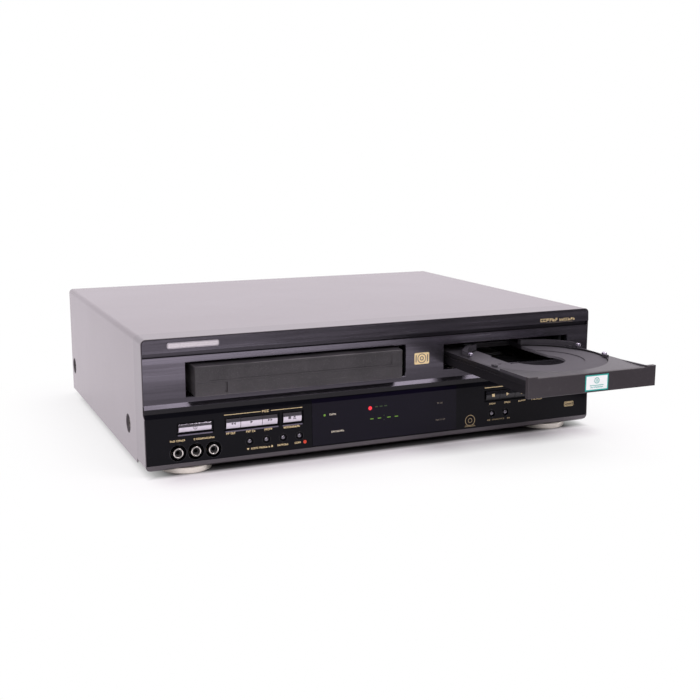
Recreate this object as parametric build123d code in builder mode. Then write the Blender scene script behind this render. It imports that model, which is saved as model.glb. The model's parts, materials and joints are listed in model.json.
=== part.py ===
"""Disc and cassette combination player, in millimetres, +Z up, front towards -Y.

The case stands on four feet at z = 0. Depths are measured back from the plain front face, and
the origin lies under the middle of the player with its disc tray open, as it stands at rest.
"""
from build123d import *
from math import acos, atan2, cos, degrees, hypot, pi, radians, sin, tan
import os

os.makedirs("parts", exist_ok=True)

# ---------------------------------------------------------------- driving dimensions: case
body_width = 430.0
body_top = 113.0
foot_height = 5.0
cover_depth = 329.0
cover_gauge = 0.8
sheet_gauge = 1.0
rear_inset = 1.0
connector_reach = 10.0
bezel_depth = 26.0
bezel_wall = 2.2
bezel_lip = 0.7
bend_radius = 3.4
low_corner_radius = 5.0
flat_gap = 0.3
slide_gap = 0.5
bearing_gap = 0.05

# front face, as heights above the table
band_bottom = 101.5
groove_bottom = 97.5
ledge_top = 59.3
ledge_bottom = 56.2
strip_bottom = 52.2
lower_bevel_bottom = 48.3
lip_top = 9.8
panel_thickness = 4.2
groove_depth = 2.4
band_bulge = 1.2
ledge_reach = 2.2
lower_reach_top = 2.9
lower_reach_bottom = 4.0
lower_wall_back = 1.0

# cassette slot and cassette
slot_centre_x = -79.5
slot_width = 199.0
slot_bottom = 63.8
slot_height = 28.2
cassette_width = 187.0
cassette_length = 103.0
cassette_height = 25.0
cassette_lower_height = 11.0
cassette_centre_x = -80.5
cassette_bottom = 65.0
cassette_out = 10.0
cassette_push = 35.0
cassette_wall = 1.6
reel_pitch = 92.0
reel_flange_radius = 44.0
reel_hub_radius = 13.0
door_plate = 1.6
door_length = 27.0
door_pivot_radius = 1.2
tab_inset = 26.0
spine_corner = 3.0
spine_edge = 0.8

# disc tray
tray_centre_x = 125.0
tray_width = 126.0
tray_travel = 131.0
tray_length = 172.0
tray_top = 82.0
tray_plate = 4.4
tray_rail_height = 12.0
tray_rail_width = 4.0
tray_flange = 1.4
tray_flange_drop = 4.0
tray_flange_thickness = 1.0
tray_cheek_length = 40.0
tray_cheek_top = 84.7
tray_front_thickness = 4.0
tray_front_bottom = 67.6
tray_front_top = 83.8
mouth_width = 132.4
mouth_bottom = 67.0
mouth_top = 89.2
recess_radius = 60.5
small_recess_radius = 41.0
recess_depth = 1.5
small_recess_depth = 0.9
spindle_hole_radius = 24.0
spindle_slot_left = 31.0
spindle_slot_right = 20.0
spindle_slot_front = 6.0
sensor_slot_offset = 41.0
sensor_slot_length = 8.0
sensor_slot_depth = 7.0
sensor_slot_width = 3.0
cheek_slope_length = 1.5
cheek_slope_drop = 0.4
pickup_slot_length = 78.0
rim_height = 4.5
rim_thickness = 4.5

# tray drive
gear_module = 1.0
gear_teeth = 24
gear_backlash = 0.16
gear_depth = 30.0
gear_thickness = 4.6
pressure_angle = radians(20)
pulley_radius = 12.0
motor_pulley_radius = 2.4
belt_thickness = 1.2
belt_height = 1.6
belt_gap = 0.25
motor_offset_x = 36.3
motor_offset_depth = 4.0
tray_motor_radius = 12.0

# disc mechanism
loader_wall = 3.0
loader_front = 10.0
loader_back = 205.0
loader_floor_bottom = 60.0
loader_floor = 2.0
loader_top = 90.0
turntable_radius = 15.0
turntable_depth = 81.0
turntable_surface = 73.0
traverse_pivot_depth = 172.0
traverse_width = 68.0
traverse_plate = 1.5
pickup_rest = 101.0
pickup_length = 22.0
rod_seat = 4.0
rod_radius = 1.5

# tape mechanism
deck_height = 30.0
deck_gauge = 1.5
deck_front = 24.0
deck_back = 236.0
deck_side = 1.2
drum_radius = 31.0
drum_depth = 168.0
reel_depth = 70.0
capstan_x = -22.0
capstan_depth = 140.0
capstan_radius = 1.9
flywheel_radius = 26.0
pinch_pivot_aside = 28.0
pinch_pivot_behind = 18.0
pinch_arm_length = 30.0
pinch_roller_radius = 6.0
pinch_swing = 20.0

# keys, jacks and feet
key_travel = 0.8
key_gap = 0.3
key_recess = 1.6
key_bulge = 0.9
round_key_radius = 2.3
round_well_radius = 3.6
board_depth = 16.0
board_gauge = 1.6
switch_height = 4.3
plunger_height = 0.7
jack_radius = 4.15
jack_bore_radius = 3.2
jack_pitch = 14.9
jack_well_radius = 7.0
front_jack_inset = 41.9
jack_well_floor = 4.6
jack_neck_radius = 3.9
jack_collar_radius = 5.4
jack_collar_reach = 1.0
jack_reach = 9.0
front_jack_z = 18.4
front_foot_radius = 22.0
rear_foot_radius = 10.0
foot_inset = 38.4
front_foot_depth = 17.0
rear_foot_depth = 290.0
dimple_radius = 8.5
dimple_floor_radius = 5.0
dimple_depth = 3.2
dimple_z = 32.0
dimple_depths = (56.0, 316.0)
screw_radius = 1.5
screw_head_radius = 3.9
window_width = 141.0
window_proud = 0.4
window_thickness = 2.0

# ---------------------------------------------------------------- worked out from them
half_width = body_width / 2
front_jack_x = front_jack_inset - half_width
foot_x = half_width - foot_inset
pan_top = foot_height + sheet_gauge
case_corner = bend_radius + cover_gauge
rear_face = cover_depth - rear_inset
front_y = (tray_travel - rear_face - connector_reach) / 2
chassis_half = half_width - cover_gauge - dimple_depth
slot_left = slot_centre_x - slot_width / 2
slot_right = slot_centre_x + slot_width / 2
slot_top = slot_bottom + slot_height
cassette_left = cassette_centre_x - cassette_width / 2
cassette_right = cassette_centre_x + cassette_width / 2
cassette_top = cassette_bottom + cassette_height
cassette_split = cassette_bottom + cassette_lower_height
cassette_back = cassette_length - cassette_out
panel_half = half_width - bezel_lip - 0.1
mouth_left = tray_centre_x - mouth_width / 2
mouth_right = tray_centre_x + mouth_width / 2
tray_left = tray_centre_x - tray_width / 2
tray_right = tray_centre_x + tray_width / 2
tray_back = tray_front_thickness - tray_travel + tray_length
recess_centre_depth = turntable_depth - tray_travel
rack_pitch_x = tray_left + tray_rail_width + 3.0
gear_radius = gear_module * gear_teeth / 2
gear_x = rack_pitch_x + gear_radius + 0.08
gear_bottom = tray_top - tray_plate - 0.6 - gear_thickness
pulley_bottom = gear_bottom - 6.6
loader_left = tray_left - slide_gap - loader_wall
loader_right = tray_right + slide_gap + loader_wall
loader_floor_top = loader_floor_bottom + loader_floor
motor_x = gear_x + motor_offset_x
motor_depth = gear_depth + motor_offset_depth
traverse_bottom = loader_floor_top + flat_gap
traverse_top = traverse_bottom + traverse_plate
deck_top = deck_height + deck_gauge
pinch_pivot_x = capstan_x + pinch_pivot_aside
pinch_pivot_depth = capstan_depth + pinch_pivot_behind
basket_left = cassette_left - 1.2 - sheet_gauge
basket_right = cassette_right + 1.2 + sheet_gauge
basket_bottom = cassette_bottom - flat_gap - sheet_gauge
basket_back = cassette_back + cassette_push + 0.5
deck_left = basket_left - 11.0
deck_right = basket_right + 11.0
board_top = pan_top + 8.0 + board_gauge


# ---------------------------------------------------------------- shape helpers
def block(x0, x1, depth0, depth1, z0, z1, mode=Mode.ADD):
    """Add or cut a box between two x, two depths and two heights."""
    with Locations(((x0 + x1) / 2, front_y + (depth0 + depth1) / 2, (z0 + z1) / 2)):
        Box(x1 - x0, depth1 - depth0, z1 - z0, mode=mode)


def upright(x, depth, z0, z1, radius, mode=Mode.ADD):
    """Add or cut a cylinder that stands along z."""
    with Locations((x, front_y + depth, (z0 + z1) / 2)):
        Cylinder(radius, z1 - z0, mode=mode)


def lengthwise(x, z, depth0, depth1, radius, mode=Mode.ADD):
    """Add or cut a cylinder that lies front to back."""
    with Locations(Location((x, front_y + (depth0 + depth1) / 2, z), (90, 0, 0))):
        Cylinder(radius, depth1 - depth0, mode=mode)


def crosswise(depth, z, x0, x1, radius, mode=Mode.ADD):
    """Add or cut a cylinder that lies side to side."""
    with Locations(Location(((x0 + x1) / 2, front_y + depth, z), (0, 90, 0))):
        Cylinder(radius, x1 - x0, mode=mode)


def side_profile(points, x0, x1, mode=Mode.ADD):
    """Add or cut a side outline of (depth, z) points, drawn out from x0 to x1."""
    with BuildSketch(Plane.YZ.offset(x0)) as outline:
        with BuildLine():
            Polyline([(front_y + depth, z) for depth, z in points], close=True)
        make_face()
    extrude(outline.sketch, amount=x1 - x0, mode=mode)


def round_off(side, x, z, radius, depth0, depth1):
    """Round a front-to-back corner that lies at a height z and a distance x from the middle."""
    inward = -1 if z > body_top / 2 else 1
    with BuildSketch(Plane.XZ.offset(-(front_y + depth0))) as waste:
        with Locations((side * x, z)):
            Rectangle(2 * radius, 2 * radius)
        with Locations((side * (x - radius), z + inward * radius)):
            Circle(radius, mode=Mode.SUBTRACT)
    extrude(waste.sketch, amount=depth0 - depth1, mode=Mode.SUBTRACT)


def save(piece, label):
    """Name a finished piece and write it."""
    piece.part.label = label
    export_step(piece.part, f"parts/{label}.step")


def lower_face(z):
    """Depth of the lower panel's leaning face at a height."""
    fall = (lower_bevel_bottom - z) / (lower_bevel_bottom - lip_top)
    return -(lower_reach_top + (lower_reach_bottom - lower_reach_top) * fall)


def gear_points(teeth, module, phase):
    """Involute outline of a spur gear centred on 0, 0, with a tooth at the phase angle."""
    pitch = module * teeth / 2
    base = pitch * cos(pressure_angle)
    root = pitch - 1.25 * module
    half_tooth = (pi * module / 2 - gear_backlash) / (2 * pitch)
    involute = tan(pressure_angle) - pressure_angle
    start = max(base, root)
    steps = 4
    flank = []
    for step in range(steps + 1):
        radius = start + (pitch + module - start) * step / steps
        angle = acos(min(1.0, base / radius))
        flank.append((radius, half_tooth + involute - tan(angle) + angle))
    flank.insert(0, (root, flank[0][1]))
    points = []
    for tooth in range(teeth):
        middle = phase + 2 * pi * tooth / teeth
        rising = [(r, middle - half) for r, half in flank]
        falling = [(r, middle + half) for r, half in reversed(flank)]
        points += [(r * cos(a), r * sin(a)) for r, a in rising + falling]
    return points


# ---------------------------------------------------------------- case
def bottom_chassis():
    """Folded steel pan with side flanges and the posts that carry what is inside."""
    with BuildPart() as pan:
        block(-chassis_half, chassis_half, bezel_depth, rear_face, foot_height, pan_top)
        for side in (-1, 1):
            inner = side * (chassis_half - sheet_gauge)
            outer = side * chassis_half
            block(min(inner, outer), max(inner, outer), bezel_depth, dimple_depths[1] + 8,
                  pan_top, loader_floor_bottom)
            for depth in dimple_depths:
                crosswise(depth, dimple_z, min(inner, outer) - 1, max(inner, outer) + 1,
                          screw_radius + bearing_gap, Mode.SUBTRACT)
        for x in (loader_left + 6, loader_right - 6):
            for depth in (loader_front + 24, loader_back - 10):
                upright(x, depth, pan_top, loader_floor_bottom, 4.0)
        with BuildSketch(Plane.XY.offset(pan_top)) as vents:
            with Locations((tray_centre_x, front_y + 120.0)):
                with GridLocations(7.0, 34.0, 12, 2):
                    SlotOverall(26.0, 3.0, rotation=90)
        extrude(vents.sketch, amount=-sheet_gauge, mode=Mode.SUBTRACT)
    save(pan, "bottom_chassis")


def rear_panel():
    """Steel back with holes for the connectors, the cord entry and cooling slots."""
    inner = rear_face - sheet_gauge
    top = body_top - cover_gauge - flat_gap
    side = half_width - cover_gauge - flat_gap
    with BuildPart() as back:
        block(-side, side, inner, rear_face, pan_top, top)
        corners = back.edges().filter_by(Axis.Y).group_by(Axis.Z)[-1]
        fillet(corners, bend_radius)
        for x, z in rear_jacks():
            lengthwise(x, z, inner - 1, rear_face + 1, jack_collar_radius + flat_gap, Mode.SUBTRACT)
        for z in aerial_heights:
            lengthwise(aerial_x, z, inner - 1, rear_face + 1, aerial_collar_radius + flat_gap,
                       Mode.SUBTRACT)
        lengthwise(gland_x, gland_z, inner - 1, rear_face + 1, gland_neck_radius, Mode.SUBTRACT)
        with BuildSketch(Plane.XZ.offset(-(front_y + inner))) as slots:
            with Locations((-120.0, 86.0), (110.0, 86.0)):
                with GridLocations(6.0, 0.0, 18, 1):
                    SlotOverall(24.0, 2.6, rotation=90)
        extrude(slots.sketch, amount=-sheet_gauge, mode=Mode.SUBTRACT)
    save(back, "rear_panel")


def top_cover():
    """Bent steel cover: a flat top, two sides and a pressed dimple at each screw."""
    inside = half_width - cover_gauge
    with BuildPart() as cover:
        with BuildSketch(Plane.XZ.offset(-(front_y + bezel_depth))) as wrap:
            with Locations((0, (foot_height + 0.5 + body_top) / 2)):
                Rectangle(body_width, body_top - foot_height - 0.5)
            fillet(wrap.vertices().group_by(Axis.Y)[-1], case_corner)
            with BuildSketch(mode=Mode.PRIVATE) as hollow:
                with Locations((0, (foot_height - 4 + body_top - cover_gauge) / 2)):
                    Rectangle(2 * inside, body_top - cover_gauge - foot_height + 4)
                fillet(hollow.vertices().group_by(Axis.Y)[-1], bend_radius)
            add(hollow.sketch, mode=Mode.SUBTRACT)
        extrude(amount=-(cover_depth - bezel_depth))
        for side in (-1, 1):
            for depth in dimple_depths:
                middle = front_y + depth
                with BuildSketch(Plane.XY.offset(dimple_z)) as cup:
                    with BuildLine():
                        Polyline(
                            (side * (inside + cover_gauge), middle + dimple_radius),
                            (side * (inside - dimple_depth + cover_gauge), middle + dimple_floor_radius),
                            (side * (inside - dimple_depth + cover_gauge), middle),
                            (side * (inside - dimple_depth), middle),
                            (side * (inside - dimple_depth), middle + dimple_floor_radius + 0.4),
                            (side * inside, middle + dimple_radius + 0.6),
                            close=True)
                    make_face()
                crosswise(depth, dimple_z, side * half_width - 2, side * half_width + 2,
                          dimple_radius, Mode.SUBTRACT)
                turn = Axis((0, middle, dimple_z), (1, 0, 0))
                revolve(cup.sketch, axis=turn, revolution_arc=360)
                crosswise(depth, dimple_z, side * chassis_half - 3, side * chassis_half + 3,
                          screw_radius + bearing_gap, Mode.SUBTRACT)
    save(cover, "top_cover")


def cover_screws():
    """Four pan-head screws that hold the cover to the side flanges."""
    seat = chassis_half + cover_gauge
    with BuildPart() as screws:
        for side in (-1, 1):
            for depth in dimple_depths:
                ends = sorted((side * (chassis_half - 5), side * seat))
                crosswise(depth, dimple_z, ends[0], ends[1], screw_radius)
                ends = sorted((side * seat, side * (seat + 1.9)))
                crosswise(depth, dimple_z, ends[0], ends[1], screw_head_radius)
                ends = sorted((side * (seat + 0.8), side * (seat + 2.2)))
                for tall, wide in ((2.4, 0.4), (0.4, 2.4)):
                    block(ends[0], ends[1], depth - wide, depth + wide, dimple_z - tall,
                          dimple_z + tall, Mode.SUBTRACT)
    save(screws, "cover_screws")


def bezel_frame():
    """Painted moulded frame round the front, with a thin lip outside the dark panels."""
    cheek = [(bezel_depth, foot_height), (bezel_depth, body_top), (0.3, body_top),
             (0.3, strip_bottom), (-lower_reach_top, lower_bevel_bottom),
             (-lower_reach_bottom, lip_top), (-lower_reach_bottom + 0.8, foot_height + 1.2),
             (-lower_reach_bottom + 2.2, foot_height)]
    floor = [(bezel_depth, foot_height), (bezel_depth, foot_height + bezel_wall),
             (panel_thickness, foot_height + bezel_wall), (panel_thickness, lip_top),
             (-lower_reach_bottom, lip_top), (-lower_reach_bottom + 0.8, foot_height + 1.2),
             (-lower_reach_bottom + 2.2, foot_height)]
    inner = half_width - bezel_wall
    with BuildPart() as frame:
        side_profile(cheek, -half_width, -inner)
        side_profile(cheek, inner, half_width)
        side_profile(floor, -half_width, half_width)
        block(-half_width, half_width, 0.3, bezel_depth, body_top - bezel_wall, body_top)
        face = -lower_reach_bottom - 2
        with BuildSketch(Plane.XZ.offset(-(front_y + face))) as opening:
            with Locations((0, (lip_top + body_top - bezel_lip) / 2)):
                Rectangle(2 * panel_half + 0.2, body_top - bezel_lip - lip_top)
            fillet(opening.vertices().group_by(Axis.Y)[-1], case_corner - bezel_lip)
        extrude(opening.sketch, amount=face - panel_thickness - 0.1, mode=Mode.SUBTRACT)
        for side in (-1, 1):
            round_off(side, half_width, body_top, case_corner, face, bezel_depth)
            round_off(side, half_width, foot_height, low_corner_radius, face, bezel_depth)
    save(frame, "bezel_frame")


def front_panel():
    """Dark upper face: title band, shadow groove, flat field with both openings and a ledge."""
    top = body_top - bezel_lip - 0.1
    outline = [(-0.6, top), (-band_bulge, band_bottom), (groove_depth, band_bottom),
               (groove_depth, groove_bottom), (0.0, groove_bottom), (0.0, ledge_top),
               (-ledge_reach, ledge_bottom), (-ledge_reach, strip_bottom),
               (panel_thickness, strip_bottom), (panel_thickness, top)]
    with BuildPart() as panel:
        side_profile(outline, -panel_half, panel_half)
        for side in (-1, 1):
            round_off(side, panel_half, top, case_corner - bezel_lip - 0.1, -band_bulge - 1,
                      panel_thickness)
        block(slot_left, slot_right, -1, panel_thickness + 1, slot_bottom, slot_top, Mode.SUBTRACT)
        block(mouth_left, mouth_right, -1, panel_thickness + 1, mouth_bottom, mouth_top, Mode.SUBTRACT)
        rims = panel.faces().filter_by(Axis.Y).filter_by(
            lambda f: abs(f.center().Y - front_y) < 0.01).edges()
        slot_rims = [e for e in rims if ledge_top + 2 < e.center().Z < groove_bottom - 2]
        slot_rims = [e for e in slot_rims if abs(e.center().X) < half_width - 5]
        chamfer(slot_rims, 0.5)
        for x0, x1 in door_ears():
            block(x0, x1, panel_thickness, door_pivot_depth + 3.4, door_pivot_z - 4.0,
                  door_pivot_z + 3.4)
            crosswise(door_pivot_depth, door_pivot_z, x0 - 1, x1 + 1,
                      door_pivot_radius + bearing_gap, Mode.SUBTRACT)
    save(panel, "front_panel")


def lower_panel():
    """Black lower face that leans forward, with key recesses, jack wells and a window pocket."""
    outline = [(-ledge_reach, strip_bottom - 0.2), (-lower_reach_top, lower_bevel_bottom),
               (-lower_reach_bottom, lip_top + 0.1), (panel_thickness, lip_top + 0.1),
               (panel_thickness, strip_bottom - 0.2)]
    pocket_top = lower_bevel_bottom - 0.3
    with BuildPart() as panel:
        side_profile(outline, -panel_half, panel_half)
        block(-panel_half + 4, panel_half - 4, lower_wall_back, panel_thickness + 1, 13.8,
              pocket_top, Mode.SUBTRACT)
        jack_left = front_jack_x - jack_pitch - jack_well_radius - 1.6
        jack_right = front_jack_x + jack_pitch + jack_well_radius + 1.6
        block(jack_left, jack_right, 0.0, jack_well_floor + 1.2, lip_top + 0.1,
              front_jack_z + jack_well_radius + 1.6)
        for x in front_jacks():
            lengthwise(x, front_jack_z, -8, jack_well_floor, jack_well_radius, Mode.SUBTRACT)
            lengthwise(x, front_jack_z, 0, jack_well_floor + 3, jack_radius + flat_gap,
                       Mode.SUBTRACT)
        for x0, x1, z0, z1 in key_wells():
            front = lower_face((z0 + z1) / 2)
            block(x0 - 2, x1 + 2, front - 3, front + key_recess, z0 - 1.8, z1 + 1.6, Mode.SUBTRACT)
            block(x0 - key_gap, x1 + key_gap, -8, 8, z0 - key_gap, z1 + key_gap, Mode.SUBTRACT)
        for label, x, z in round_keys:
            front = lower_face(z)
            lengthwise(x, z, front - 3, front + 1.2, round_well_radius, Mode.SUBTRACT)
            lengthwise(x, z, -8, 8, round_key_radius + key_gap, Mode.SUBTRACT)
        side_profile(window_outline(0.1), -window_width / 2 - 0.1, window_width / 2 + 0.1,
                     Mode.SUBTRACT)
        block(-64.0, 64.0, -6, 8, 15.0, 45.5, Mode.SUBTRACT)
    save(panel, "lower_panel")


def window_outline(grow):
    """Side outline of the window, or of its pocket when grown."""
    low = lip_top + 1.0 - grow
    high = strip_bottom - 0.6 + grow
    front = -window_proud - grow * 8
    back = window_thickness - window_proud + grow
    return [(-ledge_reach + front, high), (-lower_reach_top + front, lower_bevel_bottom),
            (lower_face(low) + front, low), (lower_face(low) + back, low),
            (-lower_reach_top + back, lower_bevel_bottom), (-ledge_reach + back, high)]


def display_window():
    """Smoked window plate in front of the display."""
    with BuildPart() as window:
        side_profile(window_outline(0.0), -window_width / 2, window_width / 2)
        chamfer(window.edges().group_by(Axis.Y)[0], 0.3)
    save(window, "display_window")


def display_module():
    """Display tube in its holder, in front of the front board."""
    with BuildPart() as module:
        block(-62.0, 62.0, 3.0, 7.0, 18.0, 43.0)
        block(-58.0, 58.0, 7.0, board_depth, 20.0, 41.0)
    save(module, "display_module")


def front_board():
    """Upright key board with a switch behind every key and the block of the front jacks."""
    face = board_depth - switch_height
    jacks_left = front_jack_x - jack_pitch - 6.0
    jacks_right = front_jack_x + jack_pitch + 6.0
    with BuildPart() as board:
        block(-205.0, 198.0, board_depth, board_depth + board_gauge,
              foot_height + bezel_wall + flat_gap, 50.0)
        for x, z in key_centres():
            block(x - 3, x + 3, face, board_depth, z - 3, z + 3)
            lengthwise(x, z, face - plunger_height, face, 1.7)
        block(-30.0, -12.0, board_depth + board_gauge, board_depth + 4.0, 22.0, 36.0)
        block(20.0, 34.0, board_depth + board_gauge, board_depth + 4.0, 20.0, 34.0)
        block(jacks_left, jacks_right, 7.0, board_depth, 11.0, 26.0)
        for x in front_jacks():
            lengthwise(x, front_jack_z, 6.0, board_depth - 1.5, jack_neck_radius + 0.02,
                       Mode.SUBTRACT)
            lengthwise(x, front_jack_z, -2.6, board_depth, jack_bore_radius - 0.02)
            lengthwise(x, front_jack_z, -3.0, 10.0, 1.7, Mode.SUBTRACT)
    save(board, "front_board")


def front_jack_sleeves():
    """Three plated sleeves for phono plugs, each rolled in to a neck behind the panel."""
    with BuildPart() as sleeves:
        for x in front_jacks():
            lengthwise(x, front_jack_z, jack_front, jack_well_floor, jack_radius)
            lengthwise(x, front_jack_z, jack_well_floor, board_depth - 1.5, jack_neck_radius)
            lengthwise(x, front_jack_z, jack_front - 1, board_depth, jack_bore_radius, Mode.SUBTRACT)
    save(sleeves, "front_jack_sleeves")


def feet():
    """Two wide round front feet and two small rear feet."""
    with BuildPart() as pads:
        for x in (-foot_x, foot_x):
            upright(x, front_foot_depth, 0.0, foot_height, front_foot_radius)
            upright(x, rear_foot_depth, 0.0, foot_height, rear_foot_radius)
        chamfer(pads.edges().filter_by(GeomType.CIRCLE).group_by(Axis.Z)[0], 0.8)
    save(pads, "feet")


# ---------------------------------------------------------------- electronics
main_board_left = 13.0 - half_width
main_board_right = half_width - 23.0
main_board_front = rear_face - 82.0
main_board_back = rear_face - 4.0
power_board_right = half_width - 15.0
power_board_left = power_board_right - 138.0
power_board_front = 62.0
power_board_back = 184.0
standoff_radius = 3.0
standoff_inset = 6.0
aerial_x = -30.0
aerial_heights = (30.0, 46.0)
aerial_radius = 4.7
aerial_collar_radius = 6.2
aerial_collar_reach = 0.8
gland_x = half_width - 35.0
gland_z = 24.0
gland_neck_radius = 5.0
gland_bore_radius = 3.2
rear_jack_rows = (30.0, 48.0)
rear_jack_columns = 6
rear_jack_start = 39.0 - half_width


def rear_jacks():
    """Centres of the rear phono jacks, as (x, z)."""
    return [(rear_jack_start + jack_pitch * column, z)
            for z in rear_jack_rows for column in range(rear_jack_columns)]


def standoffs(x0, x1, depth0, depth1):
    """Spacers under a board's corners, from the pan up to the board."""
    for x in (x0 + standoff_inset, x1 - standoff_inset):
        for depth in (depth0 + standoff_inset, depth1 - standoff_inset):
            upright(x, depth, pan_top, board_top - board_gauge, standoff_radius)


def main_board():
    """Main circuit board at the back with its larger parts, on four spacers."""
    under = board_top - board_gauge
    with BuildPart() as board:
        block(main_board_left, main_board_right, main_board_front, main_board_back, under, board_top)
        standoffs(main_board_left, main_board_right, main_board_front, main_board_back)
        for x, back, width, length, tall in (
                (-150.0, 66.0, 22.0, 22.0, 2.2), (20.0, 60.0, 28.0, 28.0, 2.4),
                (70.0, 66.0, 14.0, 20.0, 2.2), (110.0, 52.0, 18.0, 18.0, 2.2)):
            depth = rear_face - back
            block(x - width / 2, x + width / 2, depth - length / 2, depth + length / 2, board_top,
                  board_top + tall)
        for x, back, radius, tall in ((50.0, 28.0, 5.0, 12.0), (90.0, 28.0, 4.0, 9.0),
                                      (140.0, 28.0, 6.3, 14.0), (-90.0, 66.0, 4.0, 9.0)):
            upright(x, rear_face - back, board_top, board_top + tall, radius)
    save(board, "main_board")


def power_board():
    """Power supply board with capacitors, a heat sink and a fuse, on four spacers."""
    under = board_top - board_gauge
    sink_left = power_board_left + 58.0
    sink_front = power_board_front + 34.0
    sink_gauge = 3.0
    sink_top = board_top + 28.0
    with BuildPart() as board:
        block(power_board_left, power_board_right, power_board_front, power_board_back, under,
              board_top)
        standoffs(power_board_left, power_board_right, power_board_front, power_board_back)
        for across, back, radius, tall in ((20.0, 22.0, 11.0, 28.0), (20.0, 50.0, 8.0, 20.0),
                                           (46.0, 20.0, 6.3, 16.0), (120.0, 30.0, 8.0, 22.0)):
            upright(power_board_left + across, power_board_front + back, board_top,
                    board_top + tall, radius)
        block(sink_left, sink_left + 40.0, sink_front, sink_front + sink_gauge, board_top, sink_top)
        for fin in range(5):
            x = sink_left + 2.0 + fin * 9.0
            block(x, x + 1.6, sink_front + sink_gauge, sink_front + 13.0, board_top, sink_top)
        block(power_board_right - 24.0, power_board_right - 4.0, power_board_front + 8.0,
              power_board_front + 14.0, board_top, board_top + 7.0)
    save(board, "power_board")


def transformer():
    """Switching transformer: a wound bobbin inside its core."""
    left = power_board_right - 60.0
    right = power_board_right - 14.0
    front = power_board_front + 66.0
    base_top = board_top + 4.0
    with BuildPart() as wound:
        block(left, right, front, front + 40.0, board_top, base_top)
        block(left + 6.0, right - 6.0, front + 4.0, front + 36.0, base_top, base_top + 22.0)
        block(left, right, front + 12.0, front + 28.0, base_top, base_top + 26.0)
    save(wound, "transformer")


def rf_modulator():
    """Screened tuner box with its two threaded aerial sockets."""
    inner = rear_face - sheet_gauge
    with BuildPart() as tuner:
        block(aerial_x - 22.0, aerial_x + 22.0, inner - 65.0, inner, board_top,
              aerial_heights[-1] + 14.0)
        for z in aerial_heights:
            lengthwise(aerial_x, z, inner, rear_face + aerial_collar_reach, aerial_collar_radius)
            lengthwise(aerial_x, z, rear_face + aerial_collar_reach, rear_face + connector_reach,
                       aerial_radius)
            lengthwise(aerial_x, z, rear_face + 1.0, rear_face + connector_reach + 1, 1.2,
                       Mode.SUBTRACT)
    save(tuner, "rf_modulator")


def rear_jack_block():
    """Block of phono jacks, each with a collar in the rear panel and a plated sleeve."""
    inner = rear_face - sheet_gauge
    last = rear_jack_start + jack_pitch * (rear_jack_columns - 1)
    with BuildPart() as jacks:
        block(rear_jack_start - 8.0, last + 8.0, inner - 16.0, inner, board_top,
              rear_jack_rows[-1] + 8.0)
        for x, z in rear_jacks():
            lengthwise(x, z, inner, rear_face + jack_collar_reach, jack_collar_radius)
            lengthwise(x, z, rear_face + jack_collar_reach, rear_face + jack_reach, jack_radius)
            lengthwise(x, z, rear_face + 1.0, rear_face + connector_reach, 1.7, Mode.SUBTRACT)
    save(jacks, "rear_jack_block")


def cord_gland():
    """Bush that lines the cord's hole in the rear panel."""
    inner = rear_face - sheet_gauge
    with BuildPart() as bush:
        lengthwise(gland_x, gland_z, inner - 4.0, inner, gland_neck_radius + 2.0)
        lengthwise(gland_x, gland_z, inner, rear_face, gland_neck_radius - 0.02)
        lengthwise(gland_x, gland_z, rear_face, rear_face + 4.0, gland_neck_radius + 2.0)
        lengthwise(gland_x, gland_z, inner - 5.0, rear_face + 5.0, gland_bore_radius, Mode.SUBTRACT)
    save(bush, "cord_gland")


# ---------------------------------------------------------------- tape mechanism
reel_x = (cassette_centre_x - reel_pitch / 2, cassette_centre_x + reel_pitch / 2)


def vcr_deck_plate():
    """Steel deck on four legs, with side plates for the basket and pins for what turns."""
    with BuildPart() as deck:
        block(deck_left, deck_right, deck_front, deck_back, deck_height, deck_top)
        for x in (deck_left, deck_right - deck_side):
            block(x, x + deck_side, deck_front, basket_back + 12.0, deck_top, cassette_top + 2.0)
        for x in (deck_left + 8, deck_right - 8):
            for depth in (bezel_depth + 12.0, deck_back - 8):
                upright(x, depth, pan_top, deck_height, 5.0)
        for x in reel_x:
            upright(x, reel_depth, deck_top, deck_top + 14.0, 2.0)
        upright(pinch_pivot_x, pinch_pivot_depth, deck_top, deck_top + 15.0, 2.0)
        upright(capstan_x, capstan_depth, deck_height - 1, deck_top + 1, 3.5, Mode.SUBTRACT)
    save(deck, "vcr_deck_plate")


def cassette_basket():
    """Sheet basket that carries the cassette, on two pins at each side."""
    floor_top = basket_bottom + sheet_gauge
    with BuildPart() as basket:
        block(basket_left, basket_right, 20.0, basket_back, basket_bottom, floor_top)
        for x in (basket_left, basket_right - sheet_gauge):
            block(x, x + sheet_gauge, 20.0, basket_back, floor_top, floor_top + 14.0)
        block(basket_left, basket_right, basket_back, basket_back + sheet_gauge, basket_bottom,
              floor_top + 8.0)
        for depth in (40.0, 110.0):
            crosswise(depth, floor_top + 6.0, deck_left + deck_side, basket_left + 0.5, 2.5)
            crosswise(depth, floor_top + 6.0, basket_right - 0.5, deck_right - deck_side, 2.5)
        for x in reel_x:
            upright(x, reel_depth, basket_bottom - 1, floor_top + 1, 20.0, Mode.SUBTRACT)
    save(basket, "cassette_basket")


def drum_base():
    """Fixed lower drum with its mounting flange and bearing."""
    with BuildPart() as base:
        upright(cassette_centre_x, drum_depth, deck_top, deck_top + 3.0, drum_radius + 4)
        upright(cassette_centre_x, drum_depth, deck_top + 3.0, 50.0, drum_radius)
        upright(cassette_centre_x, drum_depth, deck_top + 5.0, 51.0, 3.0 + bearing_gap, Mode.SUBTRACT)
    save(base, "drum_base")


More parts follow.
